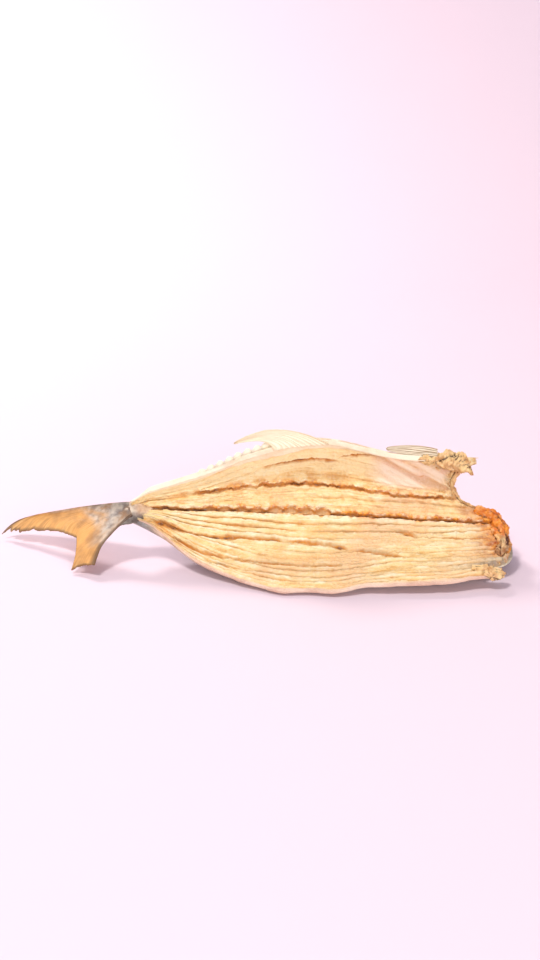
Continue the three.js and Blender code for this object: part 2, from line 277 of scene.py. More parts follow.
def hollow_at(x):
    """0 to 1: how far the flesh has opened over the nearest vertebra."""
    number = np.round(x / VERTEBRA_PITCH)
    chance, shifted = (LATTICE[number.astype(int) % 256, k] for k in (3, 4))
    stretch = (smooth(MOST_OPEN[0] - 25, MOST_OPEN[0] + 15, x)
               * (1 - smooth(MOST_OPEN[1] - 10, MOST_OPEN[1] + 25, x)))
    size = (0.2 + 0.9 * chance) * (0.3 + 0.7 * stretch)
    from_bone = x - number * VERTEBRA_PITCH - 3 * (shifted - 0.5)
    return size * np.exp(-(from_bone / (3.2 + 3.6 * size)) ** 2)


def backbone_groove(x, signed):
    """The torn groove over the backbone: height, how open it is, bone that shows, and its crest."""
    wander = 1.5 * fractal(x / 13.0, 0 * x, 3) + 0.9 * fractal(x / 3.0, 0 * x, 4)
    off = signed + wander
    hollow = hollow_at(x)
    half = (1.5 + 2.5 * hollow) * (1 + 0.2 * fractal(x / 5.0, 0 * x + 7, 6))
    from_middle = off - 2.0 * hollow
    open_to = np.exp(-(from_middle / half) ** 4)
    bone_shows = hollow * np.exp(-((from_middle / half) / 0.78) ** 4)
    ragged = 0.6 * fractal(x / 3.4, off / 4.0, 5) + 0.5 * fractal(x / 1.7, off / 2.2, 9, 2)
    crest = np.exp(-((from_middle - half - 1.6) / 1.9) ** 2)
    near_bank = np.exp(-((off + 4.2) / 2.6) ** 2) * (0.8 + 1.5 * fractal(x / 4.2, off / 3.4, 12))
    cover = np.exp(-(signed / 9.0) ** 2) * 1.2
    present = smooth(-122, -70, x)
    depth = open_to * (2.6 + 1.6 * hollow) - bone_shows * 0.8
    raised = present * (crest * (2.6 + 4.4 * ragged) + 1.5 * near_bank + cover)
    banks = (np.exp(-((from_middle - half - 0.9) / 3.8) ** 2)
             + 0.7 * np.exp(-((from_middle + half + 0.5) / 1.5) ** 2))
    stain = np.clip(banks, 0, 1) * smooth(-75, -35, x)
    return raised - depth * smooth(-124, -100, x), open_to - 0.75 * bone_shows, bone_shows, stain


def relief(x, across, from_spine, width):
    """Height over the smooth flesh in mm, and masks for each kind of surface."""
    far = across >= 0
    signed = np.where(far, from_spine, -from_spine)
    fan = across * np.where(far, FAN_WIDTH["far"], FAN_WIDTH["near"])
    border = flesh_border(x)
    far_pale = smooth(border - 0.015, border + 0.015, across + 0.015 * fractal(x / 8, 0 * x, 17))
    near_pale = smooth(0.955, 0.975, -across + 0.018 * fractal(x / 13, 0 * x, 18))
    pale = np.where(far, far_pale, near_pale)
    neck = through(NECK_CUT, across) - x
    thin = smooth(104, 134, x + 10 * fractal(x / 20, fan / 20, 19)) * smooth(0.42, 0.5, across) * (1 - pale)
    by_roll = smooth(0.74, 0.82, across) * smooth(172, 190, x + 8 * fractal(x / 9, fan / 9, 21))
    along_cut = smooth(0.3, 0.42, across) * (1 - smooth(6, 15, neck + 5 * fractal(x / 6, fan / 6, 22)))
    collar = np.maximum(by_roll, along_cut)
    meat = (1 - pale) * (1 - thin) * (1 - collar)
    folds, long_valley, short_valley = fan_folds(x, fan, far)
    calm = np.where(far, 0.8, 1.0) * smooth(0, 10, from_spine)
    # Painted light: the upper band of the far half's flesh, below the rolled lip, is marked to be coloured
    # paler.
    upper = meat * far * smooth(0.48, 0.62, across)
    height = meat * calm * folds
    # crevice marks the valleys, furrows, pits and open groove that the finish colours darker, partly as
    # painted shade.
    crevice = meat * np.maximum(0.52 * long_valley, 0.2 * short_valley) * calm
    for k, furrow in enumerate(FURROWS):
        line = line_of(furrow, x)
        same_side = (line > 0) == far
        depth, lip, crest = groove(x, (across - line) * width, furrow, 20 + 3 * k)
        height = height + same_side * (0.7 * lip + furrow["crest"] * crest - furrow["depth"] * depth)
        crevice = np.maximum(crevice, same_side * depth * min(1.0, 0.4 + furrow["depth"] / 5))
    middle, open_to, bone_shows, stain = backbone_groove(x, signed)
    beside_tear = np.exp(-(((across - line_of(TORN, x)) * width - 1.8) / 3.6) ** 2) * far
    beside_tear = beside_tear * smooth(-50, -10, x) * (1 - smooth(170, 205, x))
    glaze = np.maximum(0.85 * beside_tear, stain) * smooth(-0.5, 0.1, fractal(x / 6, signed / 4, 35))
    height += middle
    crevice = np.maximum(crevice, open_to)
    lean = x / VERTEBRA_PITCH + np.abs(signed) / 22 + 0.5 * fractal(x / 30, signed / 20, 8)
    block = (0.5 + 0.5 * np.cos(2 * np.pi * lean)) ** 4
    beside = np.exp(-((np.abs(signed) - 15) / 8.0) ** 2) * meat
    height -= 0.6 * block * beside
    crevice = np.maximum(crevice, 0.14 * block * beside)
    grainy = 0.8 * fractal(x / 5.5, fan / 4.5, 31) + 0.7 * fractal(x / 2.2, fan / 2.0, 33, 2)
    height += meat * grainy * np.where(far, 1.2, 1.0)
    # the thin lining of the belly wall, in folds that slant towards the neck
    slant = (x - 150) * 0.55 + signed
    lining_fold = value_noise(slant / 6, (x - signed) / 50, 23)
    height += thin * (2.8 * lining_fold + 0.7 * fractal(slant / 2.4, (x - signed) / 16, 24))
    crevice = np.maximum(crevice, 0.4 * thin * valley(lining_fold, 4))
    rolled = 1.6 + 0.8 * fractal(x / 26, signed / 7, 26) + 0.3 * fractal(x / 5, signed / 3, 27)
    height += pale * far * rolled
    height += pale * (1 - far) * (0.7 * fractal(x / 16, signed / 3, 26))
    # the cut end: torn, lumpy and rust-coloured below the backbone
    ragged = fractal(x / 7, signed / 6, 28)
    rust = ((1 - smooth(14, 46, neck + 15 * ragged)) * (1 - smooth(0.12, 0.3, across))
            * smooth(-0.66, -0.5, across))
    crumble = np.maximum(1 - smooth(0, 20, neck + 6 * ragged), collar)
    height += crumble * (3.0 * fractal(x / 4.6, signed / 4.0, 29) + 1.0 + 1.6 * collar)
    pits = crumble * smooth(0.15, 0.5, -fractal(x / 4.6, signed / 4.0, 29))
    crevice = np.maximum(crevice, 0.85 * pits)
    # A dark grey-brown patch on the flesh beside the notch in the neck cut.
    bruise = (np.exp(-((across + 0.70) / 0.09) ** 2) * (1 - smooth(4, 50, neck + 12 * ragged))
              * (0.7 + 0.5 * ragged))
    warm = (np.exp(-((across + 0.86) / 0.1) ** 2) * smooth(-60, 0, x)
            * smooth(-0.15, 0.35, fractal(x / 14, fan / 6, 131)))
    return height, dict(crevice=crevice, pale=pale * far * (1 - collar), rim=pale * (1 - far), thin=thin,
                        rust=rust, crumble=crumble, bruise=np.clip(bruise, 0, 1), warm=warm, upper=upper,
                        collar=collar, glaze=glaze, bone=bone_shows, slant=lining_fold, height=height)


def flesh_border(x):
    """Across, where the flesh of the far half ends and the rolled belly skin begins.
    The skin is broadest under the anal fin."""
    under_fin = np.exp(-((x - 25) / 35) ** 2)
    return 0.84 + 0.08 * smooth(60, 160, x) - 0.06 * under_fin


# %% [markdown]
# ## A closed sheet
# Flesh, skin and fins are all sheets with a finely worked face, a thin rim and a plain back.  One
# helper makes them.  The back has one face for every few of the front, and its outer faces keep
# the rim's extra corners, so the sheet is closed without doubling its triangles.

# %% Closed sheet helper
def sheet(name, columns, rows, place, rim_rows=3, stride=4):
    """place(u, v, depth) gives points in mm and a dict of values; depth 0 is the front face."""
    u, v = np.meshgrid(np.linspace(0, 1, columns + 1), np.linspace(0, 1, rows + 1), indexing="ij")
    index = np.arange(u.size).reshape(u.shape)
    loop = np.concatenate([index[:-1, 0], index[-1, :-1], index[:0:-1, -1], index[0, :0:-1]])
    parts_u, parts_v, depths, layers = [u.ravel()], [v.ravel()], [np.zeros(u.size)], [loop]
    for k in range(1, rim_rows + 1):
        layers.append(sum(len(p) for p in parts_u) + np.arange(len(loop)))
        parts_u.append(u.ravel()[loop])
        parts_v.append(v.ravel()[loop])
        depths.append(np.full(len(loop), k / rim_rows))
    back = np.full(index.shape, -1)
    back.ravel()[loop] = layers[-1]
    inner = index[stride:-1:stride, stride:-1:stride]
    back[stride:-1:stride, stride:-1:stride] = (sum(len(p) for p in parts_u)
                                                + np.arange(inner.size).reshape(inner.shape))
    parts_u.append(u.ravel()[inner.ravel()])
    parts_v.append(v.ravel()[inner.ravel()])
    depths.append(np.ones(inner.size))
    points, values = place(np.concatenate(parts_u), np.concatenate(parts_v), np.concatenate(depths))
    quads = np.stack([index[:-1, :-1], index[1:, :-1], index[1:, 1:], index[:-1, 1:]], -1)
    faces = quads.reshape(-1, 4).tolist()
    for a, b in zip(layers[:-1], layers[1:]):
        faces += np.stack([a, b, np.roll(b, -1), np.roll(a, -1)], -1).tolist()
    for i in range(0, columns, stride):
        for j in range(0, rows, stride):
            bottom = [back[k, j] for k in range(i, i + stride)]
            right = [back[i + stride, k] for k in range(j, j + stride)]
            top = [back[k, j + stride] for k in range(i + stride, i, -1)]
            left = [back[i, k] for k in range(j + stride, j, -1)]
            faces.append([int(q) for q in bottom + right + top + left if q >= 0][::-1])
    return mesh_piece(name, points, faces, values)


def mesh_piece(name, points, faces, values=None):
    """An object at the origin from points in design millimetres, facing outwards."""
    points = points + SHIFT
    points[:, 2] = np.maximum(points[:, 2], 0.15)
    mesh = bpy.data.meshes.new(name)
    mesh.from_pydata((points * MM).tolist(), [], faces)
    mesh.update()
    turn_outwards(mesh)
    for key, value in (values or {}).items():
        if key == "uv":
            layer = mesh.uv_layers.new(name="place")
            corner = np.zeros(len(mesh.loops), int)
            mesh.loops.foreach_get("vertex_index", corner)
            layer.data.foreach_set("uv", value[corner].astype(np.float32).ravel())
        else:
            attribute = mesh.attributes.new(key, "FLOAT", "POINT")
            attribute.data.foreach_set("value", value.astype(np.float32))
    mesh.polygons.foreach_set("use_smooth", np.ones(len(mesh.polygons), bool))
    piece = bpy.data.objects.new(name, mesh)
    bpy.context.scene.collection.objects.link(piece)
    mesh.calc_loop_triangles()
    print(name, len(mesh.loop_triangles), "triangles")
    return piece


def turn_outwards(mesh):
    mesh.calc_loop_triangles()
    corners = np.zeros(len(mesh.loop_triangles) * 3, int)
    mesh.loop_triangles.foreach_get("vertices", corners)
    place = np.zeros(len(mesh.vertices) * 3)
    mesh.vertices.foreach_get("co", place)
    a, b, c = place.reshape(-1, 3)[corners.reshape(-1, 3)].transpose(1, 0, 2)
    if np.einsum("ij,ij->i", a, np.cross(b, c)).sum() < 0:
        mesh.flip_normals()


# %% [markdown]
# ## Flesh and skin
# The flesh is the thick layer with the furrows.  The skin is a thinner shell under it that follows
# the outside of the back.  They are two pieces because their finishes have nothing in common.

# %% Flesh
NEAR_SHARE = 0.57
FLESH_DEPTH = 0.8
SHORT_OF_CUT = 1.4  # the ragged end stays this much behind the neck cut


def across_of(v):
    return np.where(v < NEAR_SHARE, -1 + v / NEAR_SHARE, (v - NEAR_SHARE) / (1 - NEAR_SHARE))


def edge_waver(x, across):
    """The belly edges are not cut straight: they draw in and out a little along the fish."""
    near = (0.075 * (0.5 + 0.5 * value_noise(x / 27, 0 * x + 3, 44))
            + 0.02 * (0.5 + 0.5 * fractal(x / 7, 0 * x, 45)))
    far = 0.012 * (0.5 + 0.5 * fractal(x / 13, 0 * x, 46))
    return 1 - np.where(across < 0, near, far) * smooth(0.75, 1, np.abs(across))


def tail_taper(x):
    """The flesh thins away over the last stretch before the tail root."""
    return 0.45 + 0.55 * smooth(TAIL_ROOT_X, TAIL_ROOT_X + 26, x)


def edge_thinning(across):
    """The near belly edge dries thinner than the solid that stands for it."""
    return 1 - 0.4 * smooth(0.8, 1, -across)


def root_narrowing(x, across):
    """The far half draws down to the peduncle instead of ending in a corner."""
    return np.where(across > 0, 0.45 + 0.55 * smooth(TAIL_ROOT_X - 4, TAIL_ROOT_X + 20, x), 1.0)


def flesh_half(name, side, columns, rows):
    """One half of the flesh, from the backbone out to its belly edge, with rows closest near the bone."""
    def place(u, v, depth):
        across = side * np.maximum(v, 1e-6) ** 1.25
        torn = 9 * (0.5 + 0.5 * fractal(across * 13, depth * 2.5, 41, 5)) * smooth(0.86, 1, u)
        x = body_x(u, across) - torn - SHORT_OF_CUT * u
        point, out, from_spine = flesh_at(x, across * edge_waver(x, across) * root_narrowing(x, across))
        width = np.where(across < 0, through(NEAR[0], x), through(FAR[0], x))
        height, masks = relief(x, across, from_spine, width)
        wall = wall_at(across) * tail_taper(x) * edge_thinning(across)
        height = np.maximum(height, -0.62 * wall * FLESH_DEPTH)
        ragged_end = depth * (1 - depth) * 4 * smooth(0.98, 1, u) * 3 * fractal(across * 30, depth * 4, 47)
        down = depth * wall * FLESH_DEPTH - (1 - depth) * height
        masks["uv"] = np.stack([x / 100, across * width / 100], -1)
        point[:, 0] -= np.abs(ragged_end)
        return point + out * down[:, None], masks

    return sheet(name, columns, rows, place, rim_rows=5)


near_flesh = flesh_half("near_flesh", -1, 520, 148)
far_flesh = flesh_half("far_flesh", 1, 520, 132)


# %% Skin
def place_skin(u, v, depth):
    across = across_of(v)
    x = (body_x(u, across) - SHORT_OF_CUT * u
         - 2.0 * smooth(0.94, 1, u) * (0.5 + 0.5 * fractal(across * 16, 0 * u, 51)))
    waved = across * edge_waver(x, across) * root_narrowing(x, across)
    inner, out, from_spine = flesh_at(x, waved)
    outer = skin_at(x, waved)
    width = np.where(across < 0, through(NEAR[0], x), through(FAR[0], x))
    signed = across * width
    wrinkle = 0.7 * fractal(x / 22, signed / 3.2, 53) + 0.35 * fractal(x / 5, signed / 5, 55)
    dent = 0.9 * fractal(x / 32, signed / 26, 57)
    inside = inner + out * (wall_at(across) * 0.72 * tail_taper(x) * edge_thinning(across))[:, None]
    kept = (0.72 + 0.28 * smooth(TAIL_ROOT_X, TAIL_ROOT_X + 22, x)) * edge_thinning(across)
    outer = inner + (outer - inner) * kept[:, None]
    share = (1 - depth)[:, None]
    sunk = (1 - depth) * (0.9 + np.abs(wrinkle + dent) * 0.6)
    point = outer * share + inside * (1 - share) - out * sunk[:, None]
    silver = np.maximum(np.exp(-(signed / 44) ** 2), 1 - smooth(-112, -88, x))
    return point, dict(silver=silver, edge=smooth(0.8, 1, np.abs(across)) * smooth(-114, -96, x),
                       uv=np.stack([x / 100, signed / 100], -1))


skin = sheet("skin", 320, 140, place_skin, rim_rows=2)


# %% [markdown]
# ## Backbone
# Each vertebra is a spool: wide at both rims and narrow in the middle.  One spool is turned as a
# small mesh, and Geometry Nodes set it along the backbone's curve, smaller towards the tail.

# %% One spool
def spool():
    sides, profile = 18, [(-0.5, 0.0), (-0.5, 0.62), (-0.46, 1.0), (-0.34, 0.97), (-0.2, 0.7), (0, 0.62),
                          (0.2, 0.7), (0.34, 0.97), (0.46, 1.0), (0.5, 0.62), (0.5, 0.0)]
    verts, faces = [], []
    for z, r in profile[1:-1]:
        verts += [(r * math.cos(2 * math.pi * k / sides), r * math.sin(2 * math.pi * k / sides), z)
                  for k in range(sides)]
    rings = len(profile) - 2
    for i in range(rings - 1):
        faces += [(i * sides + k, i * sides + (k + 1) % sides,
                   (i + 1) * sides + (k + 1) % sides, (i + 1) * sides + k)
                  for k in range(sides)]
    faces += [tuple(range(sides))[::-1], tuple((rings - 1) * sides + k for k in range(sides))]
    mesh = bpy.data.meshes.new("spool")
    mesh.from_pydata(verts, [], faces)
    mesh.polygons.foreach_set("use_smooth", np.ones(len(mesh.polygons), bool))
    return bpy.data.objects.new("spool", mesh)


BONE_RADIUS, BONE_RADIUS_AT_TAIL, BONE_SINK = 4.6, 2.6, 6.0


def bone_line(count):
    x = np.linspace(TAIL_ROOT_X + 6, through(NECK_CUT, 0.0) - 12, count)
    point, out, _ = flesh_at(x, np.full(count, 1e-6))
    return (point + out * BONE_SINK + SHIFT) * MM


def curve_from(points, name):
    curve = bpy.data.curves.new(name, "CURVE")
    curve.dimensions = "3D"
    spline = curve.splines.new("POLY")
    spline.points.add(len(points) - 1)
    for knot, place in zip(spline.points, points):
        knot.co = (*place, 1)
    piece = bpy.data.objects.new(name, curve)
    bpy.context.scene.collection.objects.link(piece)
    return piece


# %% Node tree that sets things along a curve
def row_tree():
    tree = bpy.data.node_groups.new("Set along a curve", "GeometryNodeTree")
    face = tree.interface
    face.new_socket("Geometry", in_out="INPUT", socket_type="NodeSocketGeometry")
    for label, kind, default in (("Thing", "NodeSocketObject", None), ("Count", "NodeSocketInt", 10),
                                 ("First size", "NodeSocketFloat", 1.0),
                                 ("Last size", "NodeSocketFloat", 1.0),
                                 ("Length", "NodeSocketFloat", 1.0), ("Wobble", "NodeSocketFloat", 0.0),
                                 ("Finish", "NodeSocketMaterial", None)):
        socket = face.new_socket(label, in_out="INPUT", socket_type=kind)
        if default is not None:
            socket.default_value = default
    face.new_socket("Geometry", in_out="OUTPUT", socket_type="NodeSocketGeometry")
    add, link = tree.nodes.new, tree.links.new
    given, result = add("NodeGroupInput"), add("NodeGroupOutput")
    resample = add("GeometryNodeResampleCurve")
    link(given.outputs["Geometry"], resample.inputs["Curve"])
    link(given.outputs["Count"], resample.inputs["Count"])
    info = add("GeometryNodeObjectInfo")
    link(given.outputs["Thing"], info.inputs["Object"])
    tangent = add("GeometryNodeInputTangent")
    align = add("FunctionNodeAlignRotationToVector")
    align.axis = "Z"
    link(tangent.outputs["Tangent"], align.inputs["Vector"])
    upright = add("FunctionNodeAlignRotationToVector")
    upright.axis, upright.pivot_axis = "Y", "Z"
    upright.inputs["Vector"].default_value = (0, 0, 1)
    link(align.outputs["Rotation"], upright.inputs["Rotation"])
    place_share = add("GeometryNodeSplineParameter")
    size = add("ShaderNodeMapRange")
    link(place_share.outputs["Factor"], size.inputs["Value"])
    link(given.outputs["First size"], size.inputs["To Min"])
    link(given.outputs["Last size"], size.inputs["To Max"])
    shape = add("ShaderNodeCombineXYZ")
    link(size.outputs["Result"], shape.inputs["X"])
    link(size.outputs["Result"], shape.inputs["Y"])
    link(given.outputs["Length"], shape.inputs["Z"])
    random = add("FunctionNodeRandomValue")
    random.data_type = "FLOAT_VECTOR"
    random.inputs["Min"].default_value = (-1, -1, -1)
    random.inputs["Max"].default_value = (1, 1, 1)
    random.inputs["Seed"].default_value = 7
    turn = add("ShaderNodeVectorMath")
    turn.operation = "SCALE"
    link(random.outputs["Value"], turn.inputs[0])
    link(given.outputs["Wobble"], turn.inputs["Scale"])
    instance = add("GeometryNodeInstanceOnPoints")
    link(resample.outputs["Curve"], instance.inputs["Points"])
    link(info.outputs["Geometry"], instance.inputs["Instance"])
    link(upright.outputs["Rotation"], instance.inputs["Rotation"])
    link(shape.outputs["Vector"], instance.inputs["Scale"])
    rotate = add("GeometryNodeRotateInstances")
    link(instance.outputs["Instances"], rotate.inputs["Instances"])
    link(turn.outputs["Vector"], rotate.inputs["Rotation"])
    realize, finish = add("GeometryNodeRealizeInstances"), add("GeometryNodeSetMaterial")
    link(rotate.outputs["Instances"], realize.inputs["Geometry"])
    link(realize.outputs["Geometry"], finish.inputs["Geometry"])
    link(given.outputs["Finish"], finish.inputs["Material"])
    link(finish.outputs["Geometry"], result.inputs["Geometry"])
    return tree


def applied(source, tree, values, name):
    """The plain mesh that a node tree makes of an object.  Inputs are set by identifier."""
    modifier = source.modifiers.new(tree.name, "NODES")
    modifier.node_group = tree
    ids = {s.name: s.identifier for s in tree.interface.items_tree if s.in_out == "INPUT"}
    for label, value in values.items():
        modifier[ids[label]] = value
    source.update_tag()
    bpy.context.view_layer.update()
    evaluated = source.evaluated_get(bpy.context.evaluated_depsgraph_get())
    mesh = bpy.data.meshes.new_from_object(evaluated)
    source.modifiers.remove(modifier)
    mesh.name = name
    piece = bpy.data.objects.new(name, mesh)
    bpy.context.scene.collection.objects.link(piece)
    mesh.polygons.foreach_set("use_smooth", np.ones(len(mesh.polygons), bool))
    print(name, len(mesh.polygons), "faces from nodes")
    return piece


# %% [markdown]
# ## Materials
# Two effects are shared.  "Fibre" is a noise drawn out along the fish, for muscle and for rays.
# "Salt" is a fine pale bloom of dried salt.  Each is a node group that gives out only values.

# %% Shared shader groups
def value_group(name, inputs, build):
    group = bpy.data.node_groups.new(name, "ShaderNodeTree")
    for label, kind, default in inputs:
        socket = group.interface.new_socket(label, in_out="INPUT", socket_type=kind)
        if default is not None:
            socket.default_value = default
    group.interface.new_socket("Value", in_out="OUTPUT", socket_type="NodeSocketFloat")
    given, result = group.nodes.new("NodeGroupInput"), group.nodes.new("NodeGroupOutput")
    group.links.new(build(group, given), result.inputs["Value"])
    return group


def build_fibre(group, given):
    add, link = group.nodes.new, group.links.new
    stretch, drawn = add("ShaderNodeCombineXYZ"), add("ShaderNodeVectorMath")
    drawn.operation = "MULTIPLY"
    link(given.outputs["Along"], stretch.inputs["X"])
    link(given.outputs["Across"], stretch.inputs["Y"])
    link(given.outputs["Vector"], drawn.inputs[0])
    link(stretch.outputs["Vector"], drawn.inputs[1])
    noise = add("ShaderNodeTexNoise")
    noise.inputs["Scale"].default_value = 1.0
    noise.inputs["Detail"].default_value = 6.0
    noise.inputs["Roughness"].default_value = 0.62
    link(drawn.outputs["Vector"], noise.inputs["Vector"])
    return noise.outputs["Fac"]


def build_salt(group, given):
    add, link = group.nodes.new, group.links.new
    noise, limit = add("ShaderNodeTexNoise"), add("ShaderNodeMapRange")
    link(given.outputs["Vector"], noise.inputs["Vector"])
    link(given.outputs["Scale"], noise.inputs["Scale"])
    noise.inputs["Detail"].default_value = 8.0
    noise.inputs["Roughness"].default_value = 0.75
    limit.inputs["From Min"].default_value = 0.5
    limit.inputs["From Max"].default_value = 0.66
    link(noise.outputs["Fac"], limit.inputs["Value"])
    return limit.outputs["Result"]


FIBRE = value_group("Fibre", (("Vector", "NodeSocketVector", None), ("Along", "NodeSocketFloat", 4.0),
                              ("Across", "NodeSocketFloat", 90.0)), build_fibre)
SALT = value_group("Salt", (("Vector", "NodeSocketVector", None),
                            ("Scale", "NodeSocketFloat", 300.0)), build_salt)


# %% Small helpers for wiring a finish
class Finish:
    """A material with one Principled shader, and short calls for the nodes that feed it."""

    def __init__(self, name, roughness=0.6, specular=0.35):
        self.material = bpy.data.materials.new(name)
        self.material.use_nodes = True
        self.tree = self.material.node_tree
        self.shader = self.tree.nodes["Principled BSDF"]
        self.shader.inputs["Roughness"].default_value = roughness
        self.shader.inputs["Specular IOR Level"].default_value = specular
        self.where = self.tree.nodes.new("ShaderNodeTexCoord")
        self.uv = self.tree.nodes.new("ShaderNodeUVMap")
        self.uv.uv_map = "place"

    def link(self, out, into):
        self.tree.links.new(out, into)

    def group(self, group, vector, **sizes):
        node = self.tree.nodes.new("ShaderNodeGroup")
        node.node_tree = group
        self.link(vector, node.inputs["Vector"])
        for label, value in sizes.items():
            node.inputs[label].default_value = value
        return node.outputs["Value"]

    def attribute(self, name):
        node = self.tree.nodes.new("ShaderNodeAttribute")
        node.attribute_name = name
        return node.outputs["Fac"]

    def noise(self, scale, detail=4.0, vector=None):
        node = self.tree.nodes.new("ShaderNodeTexNoise")
        node.inputs["Scale"].default_value = scale
        node.inputs["Detail"].default_value = detail
        self.link(vector or self.where.outputs["Object"], node.inputs["Vector"])
        return node.outputs["Fac"]

    def fibre(self, along, across):
        """Streaks that run along the piece, placed by its own UV map."""
        return self.group(FIBRE, self.uv.outputs["UV"], Along=along, Across=across)

    def patches(self, scale, detail, low, high, to=(0.0, 1.0)):
        """Noise spread between two levels, so that it reads as patches."""
        return self.ranged(self.noise(scale, detail), low, high, to)

    def tint(self, mask, strength, base, colour):
        """The base, taken towards a colour where the mask says, and only as far as the strength."""
        return self.mix(self.maths("MULTIPLY", mask, strength), base, colour)

    def ranged(self, value, low, high, to=(0.0, 1.0)):
        node = self.tree.nodes.new("ShaderNodeMapRange")
        node.inputs["From Min"].default_value, node.inputs["From Max"].default_value = low, high
        node.inputs["To Min"].default_value, node.inputs["To Max"].default_value = to
        self.link(value, node.inputs["Value"])
        return node.outputs["Result"]

    def maths(self, operation, a, b):
        node = self.tree.nodes.new("ShaderNodeMath")
        node.operation = operation
        for k, value in enumerate((a, b)):
            if isinstance(value, (int, float)):
                node.inputs[k].default_value = value
            else:
                self.link(value, node.inputs[k])
        return node.outputs["Value"]

    def mix(self, share, a, b):
        node = self.tree.nodes.new("ShaderNodeMix")
        node.data_type = "RGBA"
        for socket, value in ((node.inputs[0], share), (node.inputs[6], a), (node.inputs[7], b)):
            if isinstance(value, tuple):
                socket.default_value = (*value, 1)
            elif isinstance(value, (int, float)):
                socket.default_value = value
            else:
                self.link(value, socket)
        return node.outputs[2]

    def bump(self, height, strength, distance):
        node = self.tree.nodes.new("ShaderNodeBump")
        node.inputs["Strength"].default_value = strength
        node.inputs["Distance"].default_value = distance
        self.link(height, node.inputs["Height"])
        self.link(node.outputs["Normal"], self.shader.inputs["Normal"])

    def colour(self, socket):
        self.link(socket, self.shader.inputs["Base Color"])


# %% Colours, linear
CREAM = (0.91, 0.69, 0.34)
WHITE_FLESH = (0.92, 0.82, 0.56)
STRAW = (0.80, 0.50, 0.19)
GOLD = (0.66, 0.32, 0.075)
ORANGE = (0.62, 0.24, 0.035)
BROWN = (0.17, 0.052, 0.010)
ROSE = (0.82, 0.52, 0.32)
PALE_SKIN = (0.92, 0.84, 0.64)
LINING = (0.80, 0.53, 0.36)
OLIVE = (0.33, 0.28, 0.17)
GREY = (0.27, 0.23, 0.21)
DARK = (0.035, 0.022, 0.014)
SILVER = (0.34, 0.35, 0.34)


